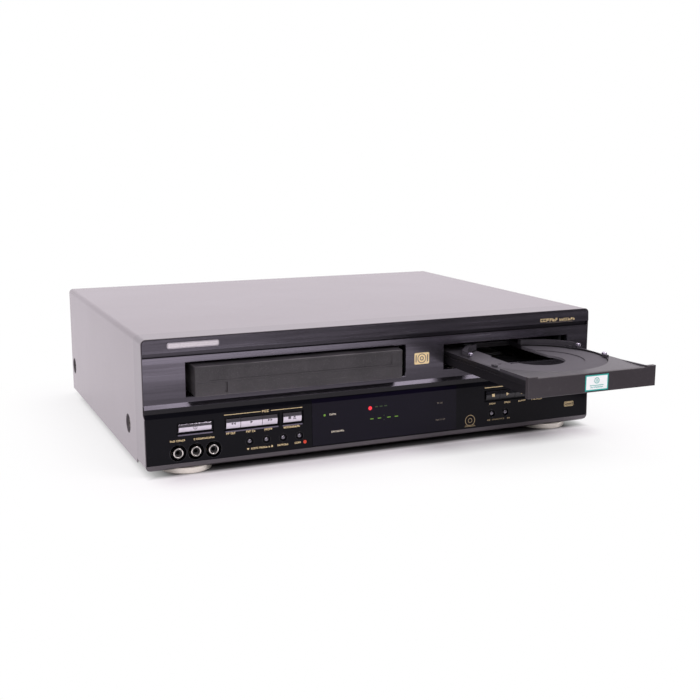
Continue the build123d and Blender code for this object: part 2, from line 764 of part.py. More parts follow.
def head_drum():
    """Rotating upper drum on its shaft, with head windows and a ring of screws."""
    with BuildPart() as drum:
        upright(cassette_centre_x, drum_depth, 50.4, 66.0, drum_radius)
        upright(cassette_centre_x, drum_depth, deck_top + 6.0, 50.4, 3.0)
        upright(cassette_centre_x, drum_depth, 63.0, 67.0, 20.0, Mode.SUBTRACT)
        upright(cassette_centre_x, drum_depth, 63.0, 68.0, 8.0)
        for turn in range(4):
            angle = turn * pi / 2
            x = cassette_centre_x + (drum_radius - 1.0) * cos(angle)
            depth = drum_depth + (drum_radius - 1.0) * sin(angle)
            block(x - 3, x + 3, depth - 3, depth + 3, 50.0, 52.4, Mode.SUBTRACT)
    save(drum, "head_drum")


def capstan_motor():
    """Stator block under the deck with the capstan's bearing."""
    with BuildPart() as motor:
        block(capstan_x - 28, capstan_x + 28, capstan_depth - 28, capstan_depth + 28,
              deck_height - 4.5, deck_height)
        upright(capstan_x, capstan_depth, deck_height, deck_top + 6.0, 3.2)
        upright(capstan_x, capstan_depth, deck_height - 6, deck_top + 8.0,
                capstan_radius + bearing_gap, Mode.SUBTRACT)
    save(motor, "capstan_motor")


def capstan():
    """Capstan shaft with its flywheel rotor."""
    with BuildPart() as shaft:
        upright(capstan_x, capstan_depth, 14.0, 24.0, flywheel_radius)
        upright(capstan_x, capstan_depth, 24.0, 54.0, capstan_radius)
    save(shaft, "capstan")


def reel_table(label, x):
    """Reel table with a splined hub, turning on its pin."""
    with BuildPart() as table:
        upright(x, reel_depth, deck_top + flat_gap, deck_top + 4.0, 17.0)
        upright(x, reel_depth, deck_top + 4.0, deck_top + 18.0, 8.0)
        for spline in range(3):
            angle = spline * 2 * pi / 3
            upright(x + 8.6 * cos(angle), reel_depth + 8.6 * sin(angle), deck_top + 4.0,
                    deck_top + 15.0, 1.2)
        upright(x, reel_depth, deck_top - 1, deck_top + 14.3, 2.0 + bearing_gap, Mode.SUBTRACT)
    save(table, label)


def pinch_arm():
    """Pinch roller on its arm, at rest clear of the capstan."""
    reach = hypot(capstan_x - pinch_pivot_x, capstan_depth - pinch_pivot_depth)
    touch = pinch_roller_radius + capstan_radius + flat_gap
    closing = acos((reach ** 2 + pinch_arm_length ** 2 - touch ** 2) / (2 * reach * pinch_arm_length))
    towards = atan2(capstan_depth - pinch_pivot_depth, capstan_x - pinch_pivot_x)
    rest = towards + closing + radians(pinch_swing)
    end_x = pinch_pivot_x + pinch_arm_length * cos(rest)
    end_depth = pinch_pivot_depth + pinch_arm_length * sin(rest)
    low = deck_top + 3.0
    with BuildPart() as arm:
        upright(pinch_pivot_x, pinch_pivot_depth, low, low + 8.0, 4.5)
        upright(end_x, end_depth, low + 4.0, low + 20.0, pinch_roller_radius)
        upright(end_x, end_depth, low, low + 4.0, 4.0)
        middle = Location(((pinch_pivot_x + end_x) / 2,
                           front_y + (pinch_pivot_depth + end_depth) / 2, low + 1.5),
                          (0, 0, degrees(rest)))
        with Locations(middle):
            Box(pinch_arm_length, 5.0, 3.0)
        upright(pinch_pivot_x, pinch_pivot_depth, low - 1, low + 9.0, 2.0 + bearing_gap,
                Mode.SUBTRACT)
    save(arm, "pinch_arm")


def tape_guides():
    """Erase head, sound head and flanged guide posts on the deck."""
    guide_top = deck_top + 22.0
    with BuildPart() as guides:
        block(cassette_centre_x - 57.5, cassette_centre_x - 45.5, drum_depth - 26.0,
              drum_depth - 18.0, deck_top, guide_top - 2.0)
        block(capstan_x - 24.0, capstan_x - 12.0, capstan_depth + 10.0, capstan_depth + 20.0,
              deck_top, guide_top)
        posts = [(cassette_centre_x + across, drum_depth - 40.0) for across in (-61.5, -31.5, 30.5)]
        posts.append((capstan_x + 32.0, capstan_depth - 28.0))
        for x, depth in posts:
            upright(x, depth, deck_top, guide_top, 2.5)
            upright(x, depth, deck_top, deck_top + 4.0, 4.0)
            upright(x, depth, guide_top - 2.0, guide_top, 4.0)
    save(guides, "tape_guides")


# ---------------------------------------------------------------- cassette and slot door
door_pivot_depth = 7.6
door_pivot_z = slot_top + 2.6
door_left = slot_left + 0.5
door_right = slot_right - 0.5


def door_ears():
    """The two lugs behind the panel that carry the door's pins, as (x0, x1)."""
    return [(door_left - 5.0, door_left - 1.0), (door_right + 1.0, door_right + 5.0)]


def slot_door():
    """Slot flap, folded back over the cassette and hanging from two pins."""
    plate_bottom = cassette_top + 0.5
    with BuildPart() as door:
        block(door_left, door_right, door_pivot_depth, door_pivot_depth + door_length, plate_bottom,
              plate_bottom + door_plate)
        side_profile([(door_pivot_depth - 1.4, door_pivot_z), (door_pivot_depth + 1.4, door_pivot_z),
                      (door_pivot_depth + 1.4, plate_bottom), (door_pivot_depth - 0.6, plate_bottom)],
                     door_left, door_right)
        crosswise(door_pivot_depth, door_pivot_z, door_left, door_right, 1.6)
        crosswise(door_pivot_depth, door_pivot_z, door_left - 4.6, door_right + 4.6,
                  door_pivot_radius)
    save(door, "slot_door")


def cassette_lower_shell():
    """Lower half of the cassette with reel holes and the record tab's notch."""
    with BuildPart() as shell:
        block(cassette_left, cassette_right, -cassette_out, cassette_back, cassette_bottom,
              cassette_split - 0.05)
        fillet(shell.edges().filter_by(Axis.Z).group_by(Axis.Y)[0], spine_corner)
        fillet(shell.edges().group_by(Axis.Z)[0].filter_by(Axis.X).sort_by(Axis.Y)[0], spine_edge)
        block(cassette_left + cassette_wall, cassette_right - cassette_wall,
              -cassette_out + cassette_wall, cassette_back + 1, cassette_bottom + cassette_wall,
              cassette_split + 1, Mode.SUBTRACT)
        for x in reel_x:
            upright(x, cassette_reel_depth, cassette_bottom - 1, cassette_bottom + 3, 12.0,
                    Mode.SUBTRACT)
        block(tab_x - 1.1, tab_x + 1.1, -cassette_out - 1, -cassette_out + 1.2,
              cassette_bottom + 2.2, cassette_split - 0.8, Mode.SUBTRACT)
    save(shell, "cassette_lower_shell")


def cassette_upper_shell():
    """Upper half of the cassette with the shallow label field along its spine."""
    label_z = (cassette_split + 1.6, cassette_top - 2.2)
    with BuildPart() as shell:
        block(cassette_left, cassette_right, -cassette_out, cassette_back, cassette_split + 0.05,
              cassette_top)
        fillet(shell.edges().filter_by(Axis.Z).group_by(Axis.Y)[0], spine_corner)
        fillet(shell.edges().group_by(Axis.Z)[-1].filter_by(Axis.X).sort_by(Axis.Y)[0], spine_edge)
        block(cassette_left + cassette_wall, cassette_right - cassette_wall,
              -cassette_out + cassette_wall, cassette_back + 1, cassette_split - 1,
              cassette_top - cassette_wall, Mode.SUBTRACT)
        with BuildSketch(Plane.XZ.offset(-(front_y - cassette_out))) as field:
            with Locations((cassette_centre_x, (label_z[0] + label_z[1]) / 2)):
                RectangleRounded(cassette_width - 22.0, label_z[1] - label_z[0], 2.5)
        extrude(field.sketch, amount=-0.5, mode=Mode.SUBTRACT)
    save(shell, "cassette_upper_shell")


def cassette_lid():
    """Hinged lid over the tape, at the cassette's inner end."""
    with BuildPart() as lid:
        block(cassette_left + cassette_wall + 0.2, cassette_right - cassette_wall - 0.2,
              cassette_back - 1.8, cassette_back, cassette_bottom + cassette_wall + 0.1,
              cassette_top - cassette_wall - 0.1)
    save(lid, "cassette_lid")


def cassette_reels():
    """The two reels with their tape packs."""
    low = cassette_bottom + cassette_wall + flat_gap
    with BuildPart() as reels:
        for x, pack in zip(reel_x, (41.0, 24.0)):
            upright(x, cassette_reel_depth, low, low + 1.2, reel_flange_radius)
            upright(x, cassette_reel_depth, low + 1.2, low + 14.0, pack)
            upright(x, cassette_reel_depth, low + 14.0, low + 19.0, reel_hub_radius)
            upright(x, cassette_reel_depth, low - 1, low + 16.0, 10.0, Mode.SUBTRACT)
    save(reels, "cassette_reels")


cassette_reel_depth = -cassette_out + cassette_wall + reel_flange_radius + 0.8
tab_x = cassette_left + tab_inset


# ---------------------------------------------------------------- disc tray and its drive
def disc_tray():
    """Tray with nested disc recesses, side rails, a raised rear rim and the toothed rack."""
    low = tray_top - tray_plate
    front = tray_front_thickness - tray_travel
    floor = tray_top - recess_depth
    middle_y = front_y + recess_centre_depth
    wall_left = tray_left + tray_flange
    wall_right = tray_right - tray_flange
    flange_top = tray_top - tray_flange_drop
    cheek_back = front + tray_cheek_length
    with BuildPart() as tray:
        block(wall_left, wall_right, front, tray_back, low, tray_top)
        for x in (wall_left, tray_right - tray_rail_width):
            block(x, x + tray_rail_width - tray_flange, front, tray_back,
                  tray_top - tray_rail_height, tray_top)
        for x in (tray_left, wall_right):
            block(x, x + tray_flange, front, tray_back, flange_top - tray_flange_thickness,
                  flange_top)
        with BuildSketch(Plane.XY.offset(tray_top)) as rim:
            with Locations((tray_centre_x, middle_y)):
                Circle(recess_radius + 1 + rim_thickness)
                Circle(recess_radius + 1, mode=Mode.SUBTRACT)
            with Locations((tray_centre_x, middle_y + 22.0 + recess_radius)):
                Rectangle(tray_width - 10, 2 * recess_radius, mode=Mode.INTERSECT)
        extrude(rim.sketch, amount=rim_height)
        side_profile([(front, flange_top), (front, tray_cheek_top),
                      (cheek_back - cheek_slope_length, tray_cheek_top - cheek_slope_drop),
                      (cheek_back, flange_top)],
                     tray_left + 0.2, wall_left + 1.2)
        side_profile([(front, tray_top), (front, tray_front_top - cheek_slope_drop),
                      (cheek_back, tray_top)],
                     wall_right - 2.0, wall_right)
        upright(tray_centre_x, recess_centre_depth, floor, tray_top + 0.01, recess_radius,
                Mode.SUBTRACT)
        upright(tray_centre_x, recess_centre_depth, floor - small_recess_depth, floor + 0.01,
                small_recess_radius, Mode.SUBTRACT)
        upright(tray_centre_x, recess_centre_depth, low - 1, tray_top + 1, spindle_hole_radius,
                Mode.SUBTRACT)
        block(tray_centre_x - spindle_slot_left, tray_centre_x + spindle_slot_right,
              recess_centre_depth - spindle_slot_front, recess_centre_depth + pickup_slot_length,
              low - 1, tray_top + rim_height + 1, Mode.SUBTRACT)
        for angle in (200, 340, 152, 28):
            x = tray_centre_x + (recess_radius + 0.3) * cos(radians(angle))
            depth = recess_centre_depth + (recess_radius + 0.3) * sin(radians(angle))
            block(x - 1.3, x + 1.3, depth - 3.0, depth + 3.0, floor + 1.2, tray_top + 1.6)
        sensor_x = tray_centre_x - sensor_slot_offset
        sensor_y = recess_centre_depth - sensor_slot_depth
        block(sensor_x - sensor_slot_length / 2, sensor_x + sensor_slot_length / 2,
              sensor_y - sensor_slot_width / 2, sensor_y + sensor_slot_width / 2, low - 1,
              tray_top, Mode.SUBTRACT)
        half = (pi * gear_module / 2 - gear_backlash) / 2
        slope = tan(pressure_angle)
        root_x = rack_pitch_x - 1.25 * gear_module
        block(tray_left + tray_rail_width, root_x, front + 8, tray_back - 2, gear_bottom + 0.4, low)
        pitch = pi * gear_module
        first = -int((gear_depth - front - 12) / pitch)
        last = int((tray_back - 4 - gear_depth) / pitch)
        with BuildSketch(Plane.XY.offset(gear_bottom + 0.4)) as rack:
            for tooth in range(first, last + 1):
                middle = front_y + gear_depth + tooth * pitch
                tip = half - gear_module * slope
                foot = half + 1.25 * gear_module * slope
                with BuildLine():
                    Polyline((root_x - 0.4, middle - foot), (root_x, middle - foot),
                             (rack_pitch_x + gear_module, middle - tip),
                             (rack_pitch_x + gear_module, middle + tip),
                             (root_x, middle + foot), (root_x - 0.4, middle + foot), close=True)
                make_face()
        extrude(rack.sketch, amount=low - gear_bottom - 0.4)
    save(tray, "disc_tray")


def tray_front():
    """Tray's front plate with a small raised tab at each end."""
    front = -tray_travel
    with BuildPart() as plate:
        block(tray_left, tray_right, front, front + tray_front_thickness, tray_front_bottom,
              tray_front_top)
        for x in (tray_left, tray_right - 9.0):
            block(x, x + 9.0, front, front + tray_front_thickness, tray_front_top,
                  tray_front_top + 1.2)
        chamfer(plate.faces().sort_by(Axis.Y)[0].edges(), 0.4)
    save(plate, "tray_front")


def tray_gear():
    """Gear that meshes with the tray's rack, in one piece with its belt pulley."""
    phase = pi / gear_teeth
    with BuildPart() as gear:
        with BuildSketch(Plane.XY.offset(gear_bottom)) as outline:
            with BuildLine():
                Polyline([(gear_x + x, front_y + gear_depth + y)
                          for x, y in gear_points(gear_teeth, gear_module, phase)], close=True)
            make_face()
        extrude(amount=gear_thickness)
        upright(gear_x, gear_depth, pulley_bottom, gear_bottom, pulley_radius)
        for z in (pulley_bottom, pulley_bottom + 3.3):
            upright(gear_x, gear_depth, z, z + 0.7, pulley_radius + 1.6)
        upright(gear_x, gear_depth, pulley_bottom - 1, gear_bottom + gear_thickness + 1,
                2.5 + bearing_gap, Mode.SUBTRACT)
    save(gear, "tray_gear")


def motor_pulley():
    """Small pulley and shaft of the tray motor."""
    with BuildPart() as pulley:
        upright(motor_x, motor_depth, loader_floor_bottom - 6, pulley_bottom, 1.0)
        upright(motor_x, motor_depth, pulley_bottom, pulley_bottom + 4.0, motor_pulley_radius)
        for z in (pulley_bottom, pulley_bottom + 3.3):
            upright(motor_x, motor_depth, z, z + 0.7, motor_pulley_radius + 1.6)
    save(pulley, "motor_pulley")


def drive_belt():
    """Belt from the motor pulley to the gear's pulley."""
    low = pulley_bottom + 0.7 + (3.3 - 0.7 - belt_height) / 2
    ends = ((gear_x, gear_depth, pulley_radius), (motor_x, motor_depth, motor_pulley_radius))
    with BuildPart() as belt:
        with BuildSketch(Plane.XY.offset(low)) as loop:
            for x, depth, radius in ends:
                with Locations((x, front_y + depth)):
                    Circle(radius + belt_gap + belt_thickness)
            make_hull()
            with BuildSketch(mode=Mode.PRIVATE) as inside:
                for x, depth, radius in ends:
                    with Locations((x, front_y + depth)):
                        Circle(radius + belt_gap)
                make_hull()
            add(inside.sketch, mode=Mode.SUBTRACT)
        extrude(amount=belt_height)
    save(belt, "drive_belt")


def tray_motor():
    """Motor that hangs under the loader's floor."""
    with BuildPart() as motor:
        upright(motor_x, motor_depth, loader_floor_bottom - 18, loader_floor_bottom, tray_motor_radius)
        upright(motor_x, motor_depth, loader_floor_bottom - 7, loader_floor_bottom + 1,
                1.0 + bearing_gap, Mode.SUBTRACT)
    save(motor, "tray_motor")


# ---------------------------------------------------------------- disc mechanism
def dvd_loader_frame():
    """Moulded frame with side walls, tray ledges, a part floor and the gear's post."""
    inner_left = loader_left + loader_wall
    inner_right = loader_right - loader_wall
    ledge_z = tray_top - tray_rail_height - flat_gap
    cheek_clear = tray_cheek_top - tray_top + slide_gap
    window_left = tray_centre_x - traverse_width / 2 - 8
    window_right = tray_centre_x + traverse_width / 2 + 8
    with BuildPart() as frame:
        block(loader_left, loader_right, loader_front, loader_back, loader_floor_bottom,
              loader_floor_top)
        block(window_left, window_right, turntable_depth - 29.0, traverse_pivot_depth + 4.0,
              loader_floor_bottom - 1, loader_floor_top + 1, Mode.SUBTRACT)
        for x in (loader_left, inner_right):
            block(x, x + loader_wall, loader_front, loader_back, loader_floor_top, loader_top)
        block(inner_left, inner_left + tray_rail_width - 0.3, loader_front, loader_back,
              ledge_z - 3.2, ledge_z)
        block(inner_right - tray_rail_width + 0.3, inner_right, loader_front, loader_back,
              ledge_z - 3.2, ledge_z)
        for depth, rise in ((20.0, cheek_clear), (60.0, 0.5), (140.0, 0.5)):
            tab = tray_top + rise
            block(inner_left, inner_left + 2.2, depth, depth + 8, tab, tab + 1.5)
            block(inner_right - 2.2, inner_right, depth, depth + 8, tab, tab + 1.5)
        upright(gear_x, gear_depth, loader_floor_top, gear_bottom + gear_thickness, 2.5)
        upright(gear_x, gear_depth, loader_floor_top, pulley_bottom - flat_gap, 5.0)
        upright(motor_x, motor_depth, loader_floor_bottom - 1, loader_floor_top + 1, 3.0,
                Mode.SUBTRACT)
        for side in (-1, 1):
            lug = tray_centre_x + side * (traverse_width / 2 + 10)
            block(lug - 2, lug + 2, traverse_pivot_depth - 4, traverse_pivot_depth + 4,
                  loader_floor_top, traverse_pivot_z + 3.5)
            crosswise(traverse_pivot_depth, traverse_pivot_z, lug - 3, lug + 3,
                      rod_radius + bearing_gap, Mode.SUBTRACT)
    save(frame, "dvd_loader_frame")


traverse_pivot_z = traverse_bottom + 1.7


def traverse_base():
    """Tilting plate that carries the spindle motor and the pickup's two rods."""
    left = tray_centre_x - traverse_width / 2
    right = tray_centre_x + traverse_width / 2
    rod_z = traverse_top + 3.0
    rod_front = pickup_rest - 7.0
    rod_back = traverse_pivot_depth - 2.0
    motor_radius = 13.0
    with BuildPart() as base:
        plate_front = turntable_depth - 19.0
        block(left, right, plate_front, traverse_pivot_depth + 3, traverse_bottom, traverse_top)
        block(tray_centre_x - 8, tray_centre_x + 8, plate_front - 17.0, plate_front,
              traverse_bottom, traverse_top)
        block(rod_x[0] - 6, rod_x[1] + 6, rod_front + rod_seat, rod_back - rod_seat,
              traverse_bottom - 1, traverse_top + 1, Mode.SUBTRACT)
        for x in rod_x:
            for depth in (rod_front, rod_back - rod_seat):
                block(x - 3, x + 3, depth, depth + rod_seat, traverse_top, rod_z + 3)
            lengthwise(x, rod_z, rod_front, rod_back, rod_radius)
        upright(tray_centre_x, turntable_depth, traverse_bottom - 11, traverse_bottom,
                motor_radius)
        upright(tray_centre_x, turntable_depth, traverse_top, traverse_top + 1.5, 6.0)
        upright(tray_centre_x, turntable_depth, traverse_bottom - 10, traverse_top + 2,
                rod_radius + bearing_gap, Mode.SUBTRACT)
        crosswise(traverse_pivot_depth, traverse_pivot_z, left - 11.6, left + 4, rod_radius)
        crosswise(traverse_pivot_depth, traverse_pivot_z, right - 4, right + 11.6, rod_radius)
        block(left, left + 4, traverse_pivot_depth - 3, traverse_pivot_depth + 3, traverse_top,
              traverse_pivot_z + 2)
        block(right - 4, right, traverse_pivot_depth - 3, traverse_pivot_depth + 3, traverse_top,
              traverse_pivot_z + 2)
    save(base, "traverse_base")


rod_x = (tray_centre_x - 22.6, tray_centre_x + 22.6)


def turntable():
    """Disc turntable with its centring cone and shaft."""
    with BuildPart() as table:
        upright(tray_centre_x, turntable_depth, turntable_surface - 3.5, turntable_surface,
                turntable_radius)
        with BuildSketch(Plane.XY.offset(turntable_surface)) as hub:
            with Locations((tray_centre_x, front_y + turntable_depth)):
                Circle(7.4)
        extrude(hub.sketch, amount=3.0, taper=15)
        upright(tray_centre_x, turntable_depth, traverse_bottom - 9, turntable_surface - 3.5,
                rod_radius)
    save(table, "turntable")


def optical_pickup():
    """Pickup sled with its lens, riding on the two rods."""
    rod_z = traverse_top + 3.0
    back = pickup_rest + pickup_length
    middle = (pickup_rest + back) / 2
    with BuildPart() as sled:
        block(rod_x[0] + 4.5, rod_x[1] - 4.5, pickup_rest, back, traverse_bottom - 3, rod_z + 3)
        for x in rod_x:
            block(x - 4.5, x + 4.5, pickup_rest + 1, back - 1, rod_z - 3, rod_z + 3)
            lengthwise(x, rod_z, pickup_rest - 1, back + 1, rod_radius + bearing_gap,
                       Mode.SUBTRACT)
        upright(tray_centre_x, middle, rod_z + 3, rod_z + 4.6, 5.0)
        with Locations((tray_centre_x, front_y + middle, rod_z + 4.6)):
            Sphere(2.4)
    save(sled, "optical_pickup")


def clamp_bridge():
    """Bridge across the loader that holds the disc clamp."""
    with BuildPart() as bridge:
        block(loader_left, loader_right, turntable_depth - 22, turntable_depth + 22, loader_top,
              loader_top + 1.6)
        upright(tray_centre_x, turntable_depth, loader_top - 1, loader_top + 3, 11.0, Mode.SUBTRACT)
    save(bridge, "clamp_bridge")


def disc_clamp():
    """Clamp puck that hangs loosely in the bridge."""
    with BuildPart() as puck:
        upright(tray_centre_x, turntable_depth, loader_top - 4.0, loader_top - 0.8, turntable_radius)
        upright(tray_centre_x, turntable_depth, loader_top - 0.8, loader_top + 1.9, 9.0)
        upright(tray_centre_x, turntable_depth, loader_top + 1.9, loader_top + 3.4, 13.0)
    save(puck, "disc_clamp")


# ---------------------------------------------------------------- keys
bar_keys = (
    ("power_key", -187.0, -159.5, 35.4, 41.8),
    ("rewind_key", -146.8, -134.6, 34.2, 42.2),
    ("play_key", -134.2, -115.6, 34.2, 42.2),
    ("forward_key", -115.2, -102.0, 34.2, 42.2),
    ("stop_eject_key", -96.6, -80.2, 34.2, 42.2),
    ("disc_stop_key", 102.2, 116.4, 34.6, 42.6),
    ("disc_play_key", 116.8, 132.9, 34.6, 42.6),
    ("disc_pause_key", 133.3, 149.1, 34.6, 42.6),
    ("disc_open_key", 149.5, 165.0, 34.6, 42.6),
)
round_keys = (
    ("channel_down_key", -126.8, 21.5),
    ("channel_up_key", -112.0, 21.5),
    ("source_key", -97.0, 21.5),
    ("record_key", -82.2, 21.5),
    ("skip_back_key", 108.4, 21.5),
    ("skip_forward_key", 123.0, 21.5),
)
jack_front = -lower_reach_bottom + 0.3
plunger_tip = board_depth - switch_height - plunger_height


def front_jacks():
    """The x of each front jack."""
    return [front_jack_x + step * jack_pitch for step in (-1, 0, 1)]


def key_wells():
    """Recesses round the bar keys, one for each run of keys that stand side by side."""
    runs = []
    for label, x0, x1, z0, z1 in bar_keys:
        if runs and x0 - runs[-1][1] < 2.0:
            runs[-1] = (runs[-1][0], x1, z0, z1)
        else:
            runs.append((x0, x1, z0, z1))
    return runs


def key_centres():
    """Where each key presses its switch, as (x, z)."""
    bars = [((x0 + x1) / 2, (z0 + z1) / 2) for label, x0, x1, z0, z1 in bar_keys]
    return bars + [(x, z) for label, x, z in round_keys]


def bar_key(label, x0, x1, z0, z1):
    """Bar key with a rounded front, a stop flange and a stem."""
    front = lower_face((z0 + z1) / 2) + 0.3
    stop = lower_wall_back + flat_gap
    middle_z = (z0 + z1) / 2
    middle_x = (x0 + x1) / 2
    with BuildPart() as key:
        with BuildSketch(Plane.YZ.offset(x0)) as outline:
            with BuildLine():
                Polyline((front_y + front, z1), (front_y + stop, z1), (front_y + stop, z0),
                         (front_y + front, z0))
                ThreePointArc((front_y + front, z0), (front_y + front - key_bulge, middle_z),
                              (front_y + front, z1))
            make_face()
        extrude(amount=x1 - x0)
        block(x0, x1, stop, stop + 1.2, z0 - 1.2, z1 + 1.2)
        block(middle_x - 2, middle_x + 2, stop + 1.2, plunger_tip - key_travel - flat_gap,
              middle_z - 2, middle_z + 2)
    save(key, label)


def round_key(label, x, z):
    """Small round key with a domed front, a stop flange and a stem."""
    front = lower_face(z) + 0.4
    stop = lower_wall_back + flat_gap
    with BuildPart() as key:
        lengthwise(x, z, front, stop, round_key_radius)
        fillet(key.edges().filter_by(GeomType.CIRCLE).sort_by(Axis.Y)[0], 0.9)
        lengthwise(x, z, stop, stop + 1.2, round_well_radius)
        lengthwise(x, z, stop + 1.2, plunger_tip - key_travel - flat_gap, 1.8)
    save(key, label)


bottom_chassis()
rear_panel()
top_cover()
cover_screws()
bezel_frame()
front_panel()
lower_panel()
display_window()
display_module()
front_board()
front_jack_sleeves()
feet()
main_board()
power_board()
transformer()
rf_modulator()
rear_jack_block()
cord_gland()
vcr_deck_plate()
cassette_basket()
drum_base()
head_drum()
capstan_motor()
capstan()
reel_table("supply_reel_table", reel_x[0])
reel_table("takeup_reel_table", reel_x[1])
pinch_arm()
tape_guides()
slot_door()
cassette_lower_shell()
cassette_upper_shell()
cassette_lid()
cassette_reels()
disc_tray()
tray_front()
tray_gear()
motor_pulley()
drive_belt()
tray_motor()
dvd_loader_frame()
traverse_base()
turntable()
optical_pickup()
clamp_bridge()
disc_clamp()
for key_values in bar_keys:
    bar_key(*key_values)
for key_values in round_keys:
    round_key(*key_values)
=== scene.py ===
"""Looks of a disc and cassette combination player: finishes, printed marks, lights and camera."""

import json
from math import cos, pi, radians, sin
from random import Random

import bmesh
import bpy
from mathutils import Matrix, Vector


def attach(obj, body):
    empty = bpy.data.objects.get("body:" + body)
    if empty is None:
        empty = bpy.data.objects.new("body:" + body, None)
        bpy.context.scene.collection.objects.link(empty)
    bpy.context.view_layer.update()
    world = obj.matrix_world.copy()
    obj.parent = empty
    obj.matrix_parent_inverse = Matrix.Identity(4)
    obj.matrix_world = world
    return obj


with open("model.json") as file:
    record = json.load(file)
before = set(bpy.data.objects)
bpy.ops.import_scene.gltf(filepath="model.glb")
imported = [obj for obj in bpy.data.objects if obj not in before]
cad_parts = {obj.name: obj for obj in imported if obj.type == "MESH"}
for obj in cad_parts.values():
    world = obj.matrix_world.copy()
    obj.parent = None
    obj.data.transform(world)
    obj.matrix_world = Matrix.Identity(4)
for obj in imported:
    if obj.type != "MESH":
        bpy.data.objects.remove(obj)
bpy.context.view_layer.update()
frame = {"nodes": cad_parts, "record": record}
nodes = frame["nodes"]
slot_of = {row["node"]: row["material_slot"] for row in frame["record"]["subparts"]}

MM = 0.001
# Places on the solids, in millimetres, that finishes and marks keep to.
FRONT_Y = -103.5
REAR_Y = FRONT_Y + 328.0
BAND_Y = FRONT_Y - 1.0
BEND_Z = 48.3
STRIP_TOP_Z = 56.0
GROOVE_BOTTOM_Z = 97.2
GROOVE_TOP_Z = 101.5
COVER_SCREW_DEPTHS = (56.0, 316.0)
COVER_SCREW_Z = 32.0
DIMPLE_RADIUS = 8.2
TRAY_X = 125.0
TRAY_RECESS_Y = FRONT_Y - 50.0
TRAY_LAND_Z = 81.9
TRAY_TRAVEL = 131.0
DISC_RECESS_RADIUS = 60.3
CASSETTE_MIDDLE_Z = 77.5
CASSETTE_HALF_HEIGHT = 12.5
TRANSFORMER_DEPTH = 148.0
REAR_JACKS_START_X = -183.45
JACK_PITCH = 14.9
JACKS_X = (-188.0, -173.1, -158.2)
JACK_Z = 18.4
ROUND_KEYS = (("channel_down_key", -126.8), ("channel_up_key", -112.0), ("source_key", -97.0),
              ("record_key", -82.2), ("skip_back_key", 108.4), ("skip_forward_key", 123.0))
ROUND_KEY_Z = 21.5
TAPE_KEY_Z = 38.2
TALL_KEY_Z = 38.6
KEY_PROUD = 0.6

WHITE = (1, 1, 1, 1)
STUDIO_WHITE = (1.0, 0.935, 0.99, 1)


# ---------------------------------------------------------------- shader values and finishes
class Value:
    """One output of a shader node. Ordinary arithmetic on it adds Math nodes."""

    def __init__(self, finish, socket):
        self.finish = finish
        self.socket = socket

    def maths(self, operation, *others):
        """Put this value, and the others after it, through one Math node."""
        terms = dict(enumerate((self, *others)))
        return self.finish.node("ShaderNodeMath", {"operation": operation}, terms)

    def __add__(self, other):
        return self.maths("ADD", other)

    __radd__ = __add__

    def __sub__(self, other):
        return self.maths("SUBTRACT", other)

    def __rsub__(self, other):
        return self.maths("MULTIPLY_ADD", -1.0, other)

    def __mul__(self, other):
        return self.maths("MULTIPLY", other)

    __rmul__ = __mul__

    def __truediv__(self, other):
        return self.maths("DIVIDE", other)

    def __gt__(self, other):
        return self.maths("GREATER_THAN", other)

    def __lt__(self, other):
        return self.maths("LESS_THAN", other)

    def __abs__(self):
        return self.maths("ABSOLUTE")

    def __pow__(self, other):
        return self.maths("POWER", other)


